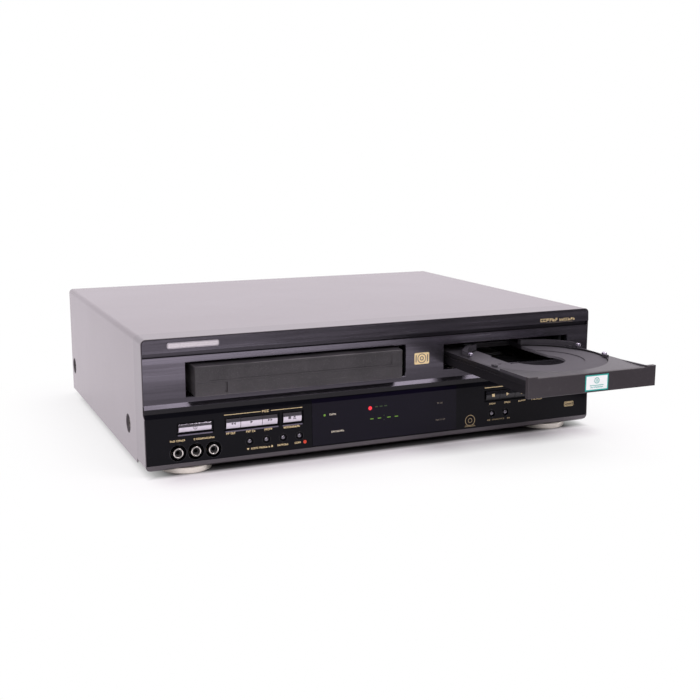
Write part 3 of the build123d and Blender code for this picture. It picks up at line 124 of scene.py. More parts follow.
class Finish:
    """A material in the making. Every node comes from one method."""

    def __init__(self, name, tree=None):
        self.material = None
        if tree is None:
            self.material = bpy.data.materials.new(name)
            self.material.use_nodes = True
            tree = self.material.node_tree
        self.tree = tree
        self.tree.nodes.clear()

    def node(self, kind, settings=None, inputs=None, output=0):
        """Add a node, set its settings and sockets, and return one of its outputs."""
        made = self.tree.nodes.new(kind)
        for key, value in (settings or {}).items():
            setattr(made, key, value)
        for key, value in (inputs or {}).items():
            if isinstance(value, Value):
                self.tree.links.new(value.socket, made.inputs[key])
            else:
                made.inputs[key].default_value = value
        return Value(self, made.outputs[output]) if made.outputs else None

    def place(self, stretch=(1, 1, 1)):
        """Object coordinates in metres, stretched before a pattern reads them."""
        where = self.node("ShaderNodeTexCoord", output="Object")
        return self.node("ShaderNodeMapping", {}, {"Vector": where, "Scale": stretch})

    def axis(self, name):
        """One Object coordinate, in millimetres."""
        where = self.node("ShaderNodeTexCoord", output="Object")
        return self.node("ShaderNodeSeparateXYZ", {}, {0: where}, name) * 1000.0

    def noise(self, scale, stretch=(1, 1, 1), detail=3.0, roughness=0.55):
        """Cloudy noise from 0 to 1; the scale counts its features in a metre."""
        return self.node("ShaderNodeTexNoise", {},
                         {"Vector": self.place(stretch), "Scale": scale, "Detail": detail,
                          "Roughness": roughness}, "Fac")

    def cells(self, scale, stretch=(1, 1, 1), output="Distance", feature="F1"):
        """Cells of a Voronoi pattern."""
        return self.node("ShaderNodeTexVoronoi", {"feature": feature},
                         {"Vector": self.place(stretch), "Scale": scale}, output)

    def mix(self, share, low, high):
        """Blend two colours by a value from 0 to 1."""
        return self.node("ShaderNodeMix", {"data_type": "RGBA", "clamp_factor": True},
                         {0: share, 6: low, 7: high}, 2)

    def within(self, value, low, high):
        """Stretch a value so that low becomes 0 and high becomes 1, and hold it there."""
        return self.node("ShaderNodeMapRange", {"clamp": True},
                         {"Value": value, "From Min": low, "From Max": high})

    def relief(self, height, depth_mm, strength=1.0, under=None):
        """Bump from a height, over a coarser relief if one is given."""
        inputs = {"Height": height, "Distance": depth_mm * MM, "Strength": strength}
        if under is not None:
            inputs["Normal"] = under
        return self.node("ShaderNodeBump", {}, inputs)

    def surface(self, **sockets):
        """Finish with one Principled surface; underscores in names stand for spaces."""
        inputs = {key.replace("_", " "): value for key, value in sockets.items()}
        shader = self.node("ShaderNodeBsdfPrincipled", {}, inputs)
        self.node("ShaderNodeOutputMaterial", {}, {"Surface": shader})
        return self.material


def shade(colour, factor):
    """A colour made darker or lighter, held at full white."""
    return (*(min(1.0, part * factor) for part in colour[:3]), 1.0)


def moulded(name, colour, roughness, grain=1800.0, grain_depth=0.02, ior=1.45, dust=0.04):
    """Injection-moulded plastic: fine spark-eroded grain, soft colour drift and a little dust."""
    f = Finish(name)
    drift = f.noise(14.0, detail=4.0)
    grain_height = f.noise(grain, detail=2.0)
    tone = f.mix(drift, shade(colour, 0.9), shade(colour, 1.1))
    specks = f.within(f.noise(420.0, detail=5.0), 0.6, 0.78) * dust
    tone = f.mix(specks, tone, (0.55, 0.52, 0.5, 1))
    rough = f.noise(60.0, detail=5.0) * 0.12 + (roughness - 0.06) + specks * 0.5
    return f.surface(Base_Color=tone, Roughness=rough, IOR=ior,
                     Normal=f.relief(grain_height, grain_depth))


def metal(name, colour, roughness, brushing=(1, 1, 1), brush_scale=900.0, metallic=1.0):
    """Bare or plated metal with brush marks that follow one direction and faint handling smears."""
    f = Finish(name)
    brush = f.noise(brush_scale, brushing, detail=6.0, roughness=0.7)
    smear = f.noise(22.0, detail=5.0)
    tone = f.mix(smear, shade(colour, 0.88), shade(colour, 1.12))
    tone = f.mix(brush * 0.35, tone, shade(colour, 0.72))
    rough = brush * 0.16 + smear * 0.12 + (roughness - 0.12)
    return f.surface(Base_Color=tone, Metallic=metallic, Roughness=rough,
                     Normal=f.relief(brush, 0.01))


def zinc_sheet(name):
    """Zinc-plated sheet with a faint spangle."""
    f = Finish(name)
    spangle = f.node("ShaderNodeSeparateColor", {}, {0: f.cells(260.0, output="Color")}, 0)
    smear = f.noise(18.0, detail=5.0)
    tone = f.mix(spangle, (0.5, 0.51, 0.52, 1), (0.66, 0.67, 0.68, 1))
    tone = f.mix(smear * 0.4, tone, (0.55, 0.53, 0.47, 1))
    rough = spangle * 0.1 + smear * 0.12 + 0.28
    return f.surface(Base_Color=tone, Metallic=0.9, Roughness=rough,
                     Normal=f.relief(smear, 0.05))


def satin_paint(name, colour, roughness, grain=2600.0):
    """Black satin lacquer with faint orange peel; the side dimples are painted darker and duller as
    painted shade, with no coat.
    """
    f = Finish(name)
    shaded_dimple = 0.0
    for depth in COVER_SCREW_DEPTHS:
        out = (f.axis("Y") - (FRONT_Y + depth)) ** 2.0 + (f.axis("Z") - COVER_SCREW_Z) ** 2.0
        shaded_dimple = (out < DIMPLE_RADIUS ** 2) + shaded_dimple
    speck = f.node("ShaderNodeSeparateColor", {}, {0: f.cells(grain, output="Color")}, 0)
    peel = f.noise(420.0, detail=2.0)
    drift = f.noise(9.0, detail=4.0)
    scuff = f.within(f.noise(38.0, (1, 6, 1), detail=8.0, roughness=0.75), 0.6, 0.8)
    tone = f.mix(speck, shade(colour, 0.8), shade(colour, 1.2))
    tone = f.mix(drift, tone, (colour[0] * 1.25, colour[1] * 1.15, colour[2], 1))
    tone = f.mix(scuff * 0.12, tone, (0.3, 0.28, 0.3, 1))
    # Painted shade: the paint in the side dimples is darkened as if shade fell in them.
    tone = f.mix(shaded_dimple * 0.9, tone, (0.016, 0.014, 0.013, 1))
    rough = speck * 0.06 + drift * 0.08 + scuff * 0.12 + shaded_dimple * 0.2 + (roughness - 0.07)
    return f.surface(Base_Color=tone, Roughness=rough, Coat_Weight=1.0 - shaded_dimple, Coat_Roughness=0.25,
                     Coat_IOR=1.6, Coat_Tint=(1, 0.97, 1, 1), IOR=1.6,
                     Specular_Tint=(1, 0.93, 1, 1), Normal=f.relief(peel, 0.012))


def front_lacquer(name):
    """Dark front panel with very fine horizontal lines, painted darker towards its bottom as
    painted reflection; its foot strip is polished black.
    """
    f = Finish(name)
    height = f.axis("Z")
    strip = f.within(height, STRIP_TOP_Z + 0.3, STRIP_TOP_Z)
    groove = (f.within(height, GROOVE_BOTTOM_Z, GROOVE_BOTTOM_Z + 0.3)
              * f.within(height, GROOVE_TOP_Z, GROOVE_TOP_Z - 0.2))
    lines = f.noise(700.0, (0.02, 1, 2.2), detail=5.0, roughness=0.75)
    broad = f.noise(120.0, (0.03, 1, 2.0), detail=3.0)
    smear = f.noise(16.0, detail=4.0)
    tone = f.mix(f.within(lines, 0.3, 0.7), (0.11, 0.102, 0.122, 1), (0.25, 0.234, 0.28, 1))
    tone = f.mix(f.within(broad, 0.4, 0.65) * 0.6, tone, (0.33, 0.31, 0.37, 1))
    # Painted reflection: the panel is painted darker towards its bottom.
    tone = f.mix(f.within(height, 58.0, 98.0) ** 1.3 * 0.78 + 0.2, (0.03, 0.028, 0.034, 1), tone)
    tone = f.mix(groove * 0.8, tone, (0.03, 0.028, 0.034, 1))
    tone = f.mix(strip, tone, (0.006, 0.0055, 0.008, 1))
    rough = lines * 0.16 + broad * 0.08 + smear * 0.08 + 0.08
    return f.surface(Base_Color=tone, Metallic=0.94 - strip * 0.94,
                     Roughness=rough - strip * 0.06, Coat_Weight=0.2 - strip * 0.2,
                     Coat_Roughness=0.28, IOR=1.35,
                     Normal=f.relief(lines + broad * 0.6, 0.02, 0.6))


def gloss_black(name, colour, roughness, ior):
    """Polished black plastic with faint haze and wipe marks."""
    f = Finish(name)
    wipe = f.noise(30.0, (0.4, 1, 1.6), detail=6.0, roughness=0.65)
    fine = f.within(f.noise(900.0, detail=4.0), 0.66, 0.8)
    tone = f.mix(wipe, shade(colour, 0.8), shade(colour, 1.25))
    tone = f.mix(fine * 0.05, tone, (0.4, 0.4, 0.42, 1))
    rough = f.within(wipe, 0.35, 0.75) * 0.1 + fine * 0.15 + (roughness - 0.04)
    return f.surface(Base_Color=tone, Roughness=rough, IOR=ior,
                     Normal=f.relief(f.noise(55.0, detail=2.0), 0.02, 0.5))


def metallised_key(name, colour):
    """Vacuum-metallised key: bright lavender silver, darker where fingers rub."""
    f = Finish(name)
    lines = f.noise(900.0, (0.05, 1, 1), detail=4.0)
    rub = f.within(f.noise(90.0, detail=3.0), 0.45, 0.75)
    tone = f.mix(lines * 0.5, colour, shade(colour, 0.8))
    tone = f.mix(rub * 0.25, tone, shade(colour, 0.62))
    return f.surface(Base_Color=tone, Metallic=1.0, Roughness=lines * 0.06 + rub * 0.06 + 0.09,
                     Normal=f.relief(lines, 0.006))


def printed(name, colour, roughness=0.35, metallic=0.0, speckle=0.15):
    """Screen-printed ink or hot foil with slight pinholes."""
    f = Finish(name)
    pin = f.within(f.noise(2600.0, detail=3.0), 0.5, 0.75)
    tone = f.mix(pin * speckle * 2, colour, shade(colour, 0.55))
    return f.surface(Base_Color=tone, Metallic=metallic, Roughness=pin * 0.2 + roughness,
                     Normal=f.relief(pin, 0.01))


def glowing(name, colour, strength):
    """Lit display segment: bright dots in a fine, duller mesh."""
    f = Finish(name)
    dots = f.within(f.cells(2600.0), 0.1, 0.6)
    lit = f.mix(dots, colour, shade(colour, 0.5))
    return f.surface(Base_Color=shade(colour, 0.3), Roughness=f.noise(700.0) * 0.1 + 0.3,
                     Emission_Color=lit, Emission_Strength=strength)


def circuit_board(name, colour, trace):
    """Circuit board: solder-masked tracks, bright pads and darker blotches."""
    f = Finish(name)
    tracks = f.within(f.cells(190.0, (1, 1, 0.01), feature="DISTANCE_TO_EDGE"), 0.05, 0.09)
    pads = f.within(f.cells(420.0, (1, 1, 0.01)), 0.16, 0.2)
    tone = f.mix(tracks, trace, colour)
    tone = f.mix(pads, (0.62, 0.6, 0.52, 1), tone)
    tone = f.mix(f.noise(50.0, detail=4.0) * 0.3, tone, shade(colour, 0.6))
    return f.surface(Base_Color=tone, Roughness=tracks * 0.15 + 0.3,
                     Normal=f.relief(tracks, 0.05))


def foot_finish(name):
    """Pale plated caps at the front and plain black feet at the rear."""
    f = Finish(name)
    rear = f.axis("Y") > 0.0
    spin = f.noise(500.0, (1, 1, 0.2), detail=4.0)
    pale = f.mix(spin, (0.84, 0.79, 0.7, 1), (0.97, 0.93, 0.84, 1))
    tone = f.mix(rear, pale, (0.03, 0.03, 0.03, 1))
    return f.surface(Base_Color=tone, Metallic=(1.0 - rear) * 0.35,
                     Roughness=spin * 0.15 + rear * 0.2 + 0.3, Normal=f.relief(spin, 0.01))


def rear_jack_finish(name):
    """Nickel sleeves in coloured collars: yellow, white and red by turns."""
    f = Finish(name)
    sleeve = f.axis("Y") > REAR_Y + 1.05
    buried = f.axis("Y") < REAR_Y - 0.9
    turn = (f.axis("X") - REAR_JACKS_START_X) / JACK_PITCH
    third = turn.maths("FLOOR").maths("MODULO", 3.0)
    collar = f.mix(third > 0.5, (0.75, 0.55, 0.06, 1), (0.7, 0.7, 0.67, 1))
    collar = f.mix(third > 1.5, collar, (0.5, 0.04, 0.03, 1))
    brush = f.noise(1500.0, (1, 0.1, 1), detail=4.0)
    plate = f.mix(brush, (0.6, 0.59, 0.56, 1), (0.85, 0.84, 0.8, 1))
    tone = f.mix(sleeve, collar, plate)
    tone = f.mix(buried, tone, (0.03, 0.03, 0.035, 1))
    return f.surface(Base_Color=tone, Metallic=sleeve, Roughness=brush * 0.15 + 0.25,
                     Normal=f.relief(brush, 0.01))


def wound_copper(name):
    """Taped winding with a dark ferrite core."""
    f = Finish(name)
    turns = f.node("ShaderNodeTexWave", {"wave_type": "BANDS", "bands_direction": "Z"},
                   {"Vector": f.place(), "Scale": 900.0, "Distortion": 0.6}, "Fac")
    core = f.within(abs(f.axis("Y") - (FRONT_Y + TRANSFORMER_DEPTH)), 7.5, 8.2)
    tone = f.mix(core, (0.05, 0.05, 0.055, 1), (0.62, 0.44, 0.1, 1))
    tone = f.mix(turns * 0.3, tone, (0.3, 0.18, 0.04, 1))
    return f.surface(Base_Color=tone, Roughness=turns * 0.2 + 0.35, Normal=f.relief(turns, 0.04))


def tray_finish(name):
    """Tray plastic: polished land, walls and rim, and finely etched disc recesses; the walls are
    painted darker as painted shade.
    """
    f = Finish(name)
    x, y, height = (f.axis(letter) for letter in "XYZ")
    out = ((x - TRAY_X) ** 2.0 + (y - TRAY_RECESS_Y) ** 2.0) ** 0.5
    etched = (out < DISC_RECESS_RADIUS) * (height < TRAY_LAND_Z)
    land_over_painted_wall_shade = f.within(height, TRAY_LAND_Z - 0.2, TRAY_LAND_Z + 0.05)
    grain = f.noise(2400.0, detail=2.0)
    drift = f.noise(22.0, detail=4.0)
    # Painted shade: the walls and everything below the land are painted much darker than the land.
    tone = f.mix(land_over_painted_wall_shade, (0.008, 0.0075, 0.009, 1), (0.055, 0.052, 0.06, 1))
    tone = f.mix(etched, tone, (0.105, 0.1, 0.112, 1))
    tone = f.mix(drift * 0.3, tone, (0.035, 0.033, 0.038, 1))
    rough = grain * 0.1 + drift * 0.1 + etched * 0.3 + (1.0 - land_over_painted_wall_shade) * 0.06 + 0.2
    return f.surface(Base_Color=tone, Roughness=rough, IOR=1.36, Normal=f.relief(grain, 0.012))


def key_board_finish(name):
    """Paper board with printed tracks; the inserts inside the jack sleeves are black."""
    f = Finish(name)
    insert = f.axis("Y") < FRONT_Y + 6.6
    tracks = f.within(f.cells(190.0, (1, 0.01, 1), feature="DISTANCE_TO_EDGE"), 0.05, 0.09)
    blotch = f.noise(50.0, detail=4.0)
    tone = f.mix(tracks, (0.5, 0.34, 0.16, 1), (0.36, 0.24, 0.12, 1))
    tone = f.mix(blotch * 0.3, tone, (0.22, 0.14, 0.07, 1))
    tone = f.mix(insert, tone, (0.008, 0.008, 0.009, 1))
    return f.surface(Base_Color=tone, Roughness=tracks * 0.15 + blotch * 0.1 + 0.3,
                     Normal=f.relief(tracks, 0.05))


def worn_cassette(name):
    """Cassette plastic: coarse moulded grain, pale scuffs and lighter bands along the top and
    bottom edges.
    """
    f = Finish(name)
    grain = f.noise(1500.0, detail=3.0)
    scratch = f.within(f.noise(260.0, (0.06, 1, 1.6), detail=8.0, roughness=0.8), 0.63, 0.74)
    cloud = f.noise(26.0, detail=5.0)
    from_middle = abs(f.axis("Z") - CASSETTE_MIDDLE_Z)
    pale_edge_bands = (f.within(from_middle, CASSETTE_HALF_HEIGHT - 0.6, CASSETTE_HALF_HEIGHT - 0.3)
            * (from_middle < CASSETTE_HALF_HEIGHT - 0.04))
    tone = f.mix(f.within(cloud, 0.3, 0.7), (0.026, 0.025, 0.027, 1), (0.056, 0.052, 0.056, 1))
    tone = f.mix(scratch * 0.5, tone, (0.34, 0.32, 0.31, 1))
    tone = f.mix(f.within(grain, 0.56, 0.7) * 0.35, tone, (0.17, 0.16, 0.17, 1))
    # Lighter along the top and bottom edges.
    tone = f.mix(pale_edge_bands * f.within(cloud, 0.4, 0.6) * 0.5, tone, (0.22, 0.21, 0.21, 1))
    rough = grain * 0.12 + cloud * 0.12 + scratch * 0.1 + 0.3
    return f.surface(Base_Color=tone, Roughness=rough, IOR=1.45,
                     Normal=f.relief(grain, 0.03, 1.0, f.relief(scratch, 0.03)))


# One finish for each slot, then the pieces that have their own.
finishes = {
    "cover_paint": satin_paint("cover_paint", (0.05, 0.043, 0.05, 1), 0.34),
    "bezel_black": satin_paint("bezel_lacquer", (0.03, 0.027, 0.033, 1), 0.36, 3400.0),
    "front_black": front_lacquer("front_panel_lacquer"),
    "lower_black": gloss_black("lower_panel_black", (0.004, 0.004, 0.006, 1), 0.14, 1.2),
    "window": gloss_black("smoked_window", (0.004, 0.003, 0.009, 1), 0.07, 1.24),
    "zinc_steel": zinc_sheet("zinc_sheet"),
    "plated": metal("nickel_plate", (0.86, 0.83, 0.78, 1), 0.16, (1, 0.1, 1)),
    "steel": metal("ground_steel", (0.42, 0.38, 0.34, 1), 0.34),
    "aluminium": metal("turned_aluminium", (0.76, 0.76, 0.77, 1), 0.26, (1, 1, 0.05)),
    "black_plastic": moulded("black_moulding", (0.03, 0.03, 0.033, 1), 0.5),
    "cassette_black": worn_cassette("cassette_plastic"),
    "tray_black": tray_finish("tray_plastic"),
    "key_silver": metallised_key("silver_key", (0.74, 0.7, 0.78, 1)),
    "key_black": gloss_black("black_key", (0.012, 0.012, 0.015, 1), 0.09, 1.5),
    "foot_cream": foot_finish("foot_caps"),
    "board_green": circuit_board("main_board_green", (0.02, 0.1, 0.045, 1), (0.05, 0.2, 0.09, 1)),
    "board_tan": circuit_board("paper_board", (0.36, 0.24, 0.12, 1), (0.5, 0.34, 0.16, 1)),
    "rubber": moulded("black_rubber", (0.022, 0.022, 0.023, 1), 0.62, 900.0, 0.03),
    "white_plastic": moulded("white_moulding", (0.68, 0.67, 0.62, 1), 0.42, dust=0.02),
    "copper": wound_copper("transformer_winding"),
}
own_finish = {
    "rear_jack_block": rear_jack_finish("rear_jack_plate"),
    "front_board": key_board_finish("key_board"),
    "tray_front": moulded("tray_front_plastic", (0.046, 0.041, 0.045, 1), 0.36, 2600.0, 0.01,
                          ior=1.36),
    "cassette_reels": moulded("white_reel_plastic", (0.66, 0.65, 0.62, 1), 0.4, dust=0.02),
    "cover_screws": metal("blackened_screw", (0.07, 0.055, 0.045, 1), 0.42),
}
for node_name, node in nodes.items():
    finish = own_finish.get(node_name, finishes[slot_of[node_name]])
    node.data.materials.clear()
    node.data.materials.append(finish)

gold = printed("gold_foil", (0.95, 0.76, 0.42, 1), 0.32, 0.3)
dim_gold = printed("thin_gold_foil", (0.42, 0.33, 0.18, 1), 0.4, 0.3)
cream_ink = printed("cream_ink", (0.9, 0.82, 0.66, 1))
# Painted highlight strips that lie under the long keys.
sill_highlight_metal = metal("sill_highlight_finish", (0.17, 0.155, 0.2, 1), 0.26, (0.1, 1, 1), 1400.0)
dim_ink = printed("dim_cream_ink", (0.2, 0.17, 0.13, 1))
dark_ink = printed("dark_key_ink", (0.1, 0.09, 0.11, 1))
white_ink = printed("white_label", (0.95, 1.0, 0.98, 1), 0.3, speckle=0.02)
teal_ink = printed("teal_ink", (0.02, 0.42, 0.36, 1), 0.3)
plate_metal = metal("nameplate", (0.86, 0.82, 0.85, 1), 0.24, (0.1, 1, 1), 1400.0)
rim_metal = metal("nameplate_rim", (0.3, 0.28, 0.33, 1), 0.2, (0.1, 1, 1), 1400.0)
red_lamp = glowing("red_lamp", (1.0, 0.03, 0.05, 1), 1.6)
red_mark = printed("red_ink", (0.75, 0.06, 0.02, 1))
green_lamp = glowing("green_lamp", (0.16, 0.34, 0.03, 1), 0.9)
faint_green = glowing("faint_green", (0.03, 0.07, 0.015, 1), 0.5)


# ---------------------------------------------------------------- flat marks, drawn in x and z
def quad(bm, x0, x1, z0, z1):
    """A flat rectangle in the x-z plane, facing the front."""
    corners = [bm.verts.new((x, 0, z)) for x, z in ((x0, z0), (x1, z0), (x1, z1), (x0, z1))]
    bm.faces.new(corners)


def triangle(bm, x, z, size, turn):
    """A flat triangle whose point looks along the turn, in degrees from +x."""
    corners = []
    for corner in (0, 120, 240):
        angle = radians(turn + corner)
        corners.append(bm.verts.new((x + size * cos(angle), 0, z + size * sin(angle))))
    bm.faces.new(corners)


def disc(bm, x, z, radius, segments=28):
    """A flat round spot."""
    place = Matrix.Translation((x, 0, z)) @ Matrix.Rotation(radians(90), 4, "X")
    bmesh.ops.create_circle(bm, cap_ends=True, segments=segments, radius=radius, matrix=place)


def edges_of(verts):
    """The edges that meet at some vertices, each once and always in the same order."""
    return list(dict.fromkeys(pale_edge_bands for vert in verts for pale_edge_bands in vert.link_edges))


def rim_of(bm, width, shape, *sizes):
    """Draw a flat shape and leave only its rim, as wide as given."""
    before = set(bm.faces)
    shape(bm, *sizes)
    spot = [face for face in bm.faces if face not in before]
    for face in spot:
        face.normal_update()
    bmesh.ops.inset_individual(bm, faces=spot, thickness=width, use_even_offset=True)
    bmesh.ops.delete(bm, geom=spot, context="FACES")


def ring(bm, x, z, outer, inner):
    """A flat ring."""
    rim_of(bm, outer - inner, disc, x, z, outer, 32)


def rounded(bm, x0, x1, z0, z1, radius):
    """A flat rectangle with rounded corners."""
    before = set(bm.verts)
    quad(bm, x0, x1, z0, z1)
    corners = [vert for vert in bm.verts if vert not in before]
    bmesh.ops.bevel(bm, geom=corners, offset=radius, offset_type="OFFSET", affect="VERTICES",
                    segments=4, profile=0.5, material=-1)


def lettering(bm, x0, x1, z0, z1, seed, letter=1.0, stroke=0.26):
    """A row of small uneven strokes: print that is too small to make out."""
    draw = Random(seed)
    x = x0
    while x < x1 - 0.4 * letter:
        wide = letter * draw.uniform(0.7, 1.0)
        quad(bm, x, x + stroke, z0, z1)
        for bar in draw.sample(((z0, z0 + stroke), ((z0 + z1 - stroke) / 2, (z0 + z1 + stroke) / 2),
                                (z1 - stroke, z1)), 2):
            quad(bm, x + stroke, x + wide, *bar)
        x += wide + letter * (0.9 if draw.random() < 0.14 else 0.25)


def add_object(name, data):
    """Put a mesh, light or camera into the scene."""
    holder = bpy.data.objects.new(name, data)
    bpy.context.scene.collection.objects.link(holder)
    return holder


def finished(name, bm, finish, body):
    """Turn a bmesh in millimetres into a piece in metres that rides on a body."""
    bmesh.ops.recalc_face_normals(bm, faces=bm.faces)
    bmesh.ops.scale(bm, vec=(MM, MM, MM), verts=bm.verts)
    mesh = bpy.data.meshes.new(name)
    bm.to_mesh(mesh)
    bm.free()
    piece = add_object(name, mesh)
    mesh.materials.append(finish)
    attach(piece, body)
    return piece


def raise_marks(bm, thickness):
    """Give flat marks a thickness, towards the back."""
    faces = bm.faces[:]
    for face in faces:
        face.normal_update()
        if face.normal.y > 0:
            face.normal_flip()
    grown = bmesh.ops.extrude_face_region(bm, geom=faces, use_keep_orig=True)
    moved = [item for item in grown["geom"] if isinstance(item, bmesh.types.BMVert)]
    bmesh.ops.translate(bm, vec=(0, thickness, 0), verts=moved)


def lower_face(z):
    """Where the leaning lower panel lies at a height."""
    return FRONT_Y - 2.9 - 1.1 * (BEND_Z - z) / 38.5


def window_face(z):
    """Where the window's face lies, which turns back above the bend."""
    if z > BEND_Z:
        return FRONT_Y - 3.3 + 0.7 * (z - BEND_Z) / 3.9
    return lower_face(z) - 0.4


def flat_face(y):
    """A face that stands upright, so every height has the same place."""
    return lambda z: y


def marks(name, draw, face, finish, body="case", lift=0.05, sink=0.12):
    """Draw flat marks and lay them on a face, a little proud and a little sunk in."""
    bm = bmesh.new()
    draw(bm)
    raise_marks(bm, lift + sink)
    for vert in bm.verts:
        vert.co.y += face(vert.co.z) - lift
    return finished(name, bm, finish, body)


# ---------------------------------------------------------------- title band and badges
def nameplate(bm):
    rounded(bm, -194.0, -151.0, 104.6, 109.4, 1.6)


def nameplate_rim(bm):
    rim_of(bm, 0.35, rounded, -193.6, -151.4, 104.9, 109.1, 1.3)


def feature_strip(bm):
    lettering(bm, 160.0, 180.0, 103.2, 106.2, 3, 3.0, 0.8)
    lettering(bm, 181.0, 199.5, 103.2, 105.6, 4, 2.4, 0.6)


def strip_shadow(bm):
    lettering(bm, 166.0, 198.0, 101.9, 102.5, 5, 0.9, 0.2)


def disc_badge(bm):
    rounded(bm, 28.9, 43.7, 73.4, 83.8, 1.2)


def badge_rings(bm):
    ring(bm, 36.3, 78.6, 4.3, 3.7)
    ring(bm, 36.3, 78.6, 1.9, 1.2)
    quad(bm, 30.2, 31.0, 75.4, 81.8)
    quad(bm, 41.6, 42.4, 75.4, 81.8)


marks("blank_nameplate", nameplate, flat_face(BAND_Y), plate_metal, lift=0.35)
marks("gold_strip", feature_strip, flat_face(BAND_Y - 0.15), gold, lift=0.12)
marks("small_band_print", strip_shadow, flat_face(BAND_Y - 0.15), dim_ink, lift=0.06)
marks("nameplate_rim", nameplate_rim, flat_face(BAND_Y - 0.35), rim_metal, lift=0.06)
marks("disc_badge", disc_badge, flat_face(FRONT_Y), gold, lift=0.1)
marks("disc_badge_rings", badge_rings, flat_face(FRONT_Y - 0.1), dark_ink, lift=0.04)


# ---------------------------------------------------------------- printed marks on the lower face
def case_lines(bm):
    quad(bm, -148.4, -116.6, 45.8, 46.2)
    quad(bm, -107.4, -79.3, 45.8, 46.2)
    lettering(bm, -115.4, -108.4, 45.1, 46.9, 11, 1.9, 0.4)
    quad(bm, 100.4, 165.0, 45.9, 46.5)


def key_bars(bm):
    for x, width in ((-142.2, 9.4), (-126.0, 7.4), (-109.4, 8.2), (-88.8, 15.0)):
        lettering(bm, x - width / 2, x + width / 2, 29.3, 31.0, int(-x), 1.35, 0.34)
    for x, width in ((109.3, 7.0), (124.9, 6.6), (141.2, 8.0), (157.2, 11.0)):
        lettering(bm, x - width / 2, x + width / 2, 30.0, 31.4, int(x), 1.25, 0.3)
    lettering(bm, -194.4, -182.0, 27.9, 29.3, 21, 1.1, 0.28)
    lettering(bm, -174.6, -156.6, 27.9, 29.3, 22, 1.1, 0.28)


def round_key_marks(bm):
    triangle(bm, -128.4, 15.2, 1.2, 270)
    triangle(bm, -107.2, 15.2, 1.2, 90)
    lettering(bm, -125.6, -109.6, 14.4, 15.9, 31, 1.3, 0.32)
    lettering(bm, -102.2, -91.8, 14.6, 16.1, 32, 1.3, 0.32)
    lettering(bm, -86.6, -80.4, 14.8, 16.3, 33, 1.3, 0.32)


def skip_marks(bm):
    for x, turn in ((104.2, 180), (106.0, 180), (125.4, 0), (127.2, 0)):
        triangle(bm, x, 15.6, 1.0, turn)
    lettering(bm, 108.6, 122.8, 15.0, 16.2, 41, 1.1, 0.24)


def corner_badges(bm):
    ring(bm, 85.3, 17.3, 5.2, 4.6)
    ring(bm, 85.3, 17.3, 2.2, 1.7)
    quad(bm, 79.6, 91.0, 11.6, 12.0)
    lettering(bm, 80.4, 90.4, 12.4, 13.2, 55, 0.9, 0.2)


def right_badge(bm):
    rim_of(bm, 0.4, rounded, 188.6, 199.0, 20.2, 24.8, 0.8)
    lettering(bm, 189.8, 198.0, 22.6, 24.0, 51, 1.5, 0.36)
    lettering(bm, 189.8, 198.0, 21.0, 22.0, 52, 1.2, 0.26)


marks("gold_lines", case_lines, lower_face, gold)
marks("key_label_bars", key_bars, lower_face, gold)
marks("round_key_marks", round_key_marks, lower_face, gold)
marks("skip_marks", skip_marks, lower_face, dim_gold)
marks("ring_badge", corner_badges, lower_face, dim_gold)
marks("small_badge", right_badge, lower_face, gold)
marks("record_dot", lambda bm: disc(bm, -77.3, 15.6, 1.5), lower_face, red_mark)


# ---------------------------------------------------------------- rims of the jacks and key wells
def hoop(bm, x, z, radius, wire, segments=48):
    """A wire bent into a ring that faces the front."""
    before = set(bm.verts)
    place = Matrix.Translation((radius, 0, 0)) @ Matrix.Rotation(radians(90), 4, "X")
    made = bmesh.ops.create_circle(bm, segments=12, radius=wire, matrix=place)
    section = made["verts"]
    bmesh.ops.spin(bm, geom=section + edges_of(section), cent=(0, 0, 0), axis=(0, 0, 1),
                   angle=2 * pi, steps=segments, use_merge=True)
    fresh = [vert for vert in bm.verts if vert not in before]
    bmesh.ops.rotate(bm, verts=fresh, matrix=Matrix.Rotation(radians(90), 3, "X"))
    bmesh.ops.translate(bm, verts=fresh, vec=(x, 0, z))


def rims(name, draw, face, finish):
    """Wire rings laid on a face, half sunk in."""
    bm = bmesh.new()
    draw(bm)
    for vert in bm.verts:
        vert.co.y += face(vert.co.z)
    return finished(name, bm, finish, "case")


def jack_rims(bm):
    for x in JACKS_X:
        hoop(bm, x, JACK_Z, 3.68, 0.56)


def well_rims(bm):
    for x in JACKS_X:
        hoop(bm, x, JACK_Z, 7.05, 0.2)
    for _, x in ROUND_KEYS:
        hoop(bm, x, ROUND_KEY_Z, 3.66, 0.16, 32)


# Painted highlight: flat lighter strips under the long keys stand in for the lit lower bevel of
# their recesses.
def painted_sill_highlights(bm):
    for x0, x1, z0 in ((-187.0, -159.5, 35.4), (-146.8, -102.0, 34.2), (-96.6, -80.2, 34.2)):
        quad(bm, x0 - 0.8, x1 + 0.8, z0 - 3.0, z0 - 1.9)


def key_dome(x):
    """A low polished dome on the middle of a round key."""
    bm = bmesh.new()
    middle = Matrix.Translation((x, lower_face(ROUND_KEY_Z) + 0.45, ROUND_KEY_Z))
    bmesh.ops.create_uvsphere(bm, u_segments=32, v_segments=20, radius=1.75,
                              matrix=middle @ Matrix.Diagonal((1, 0.55, 1, 1)))
    return bm


dome_finish = metal("dome_chrome", (0.24, 0.23, 0.26, 1), 0.16, brush_scale=500.0)
for key_name, key_x in ROUND_KEYS:
    finished(key_name + "_dome", key_dome(key_x), dome_finish, key_name)
rims("jack_rims", jack_rims, flat_face(FRONT_Y - 4.3), finishes["plated"])
rims("well_rims", well_rims, lower_face, finishes["key_black"])
marks("painted_sill_highlights", painted_sill_highlights, lower_face, sill_highlight_metal, lift=0.25)


# ---------------------------------------------------------------- signs on the keys
def key_face(middle_z):
    """The upright front of a long key whose middle is at a height."""
    return flat_face(lower_face(middle_z) - KEY_PROUD)


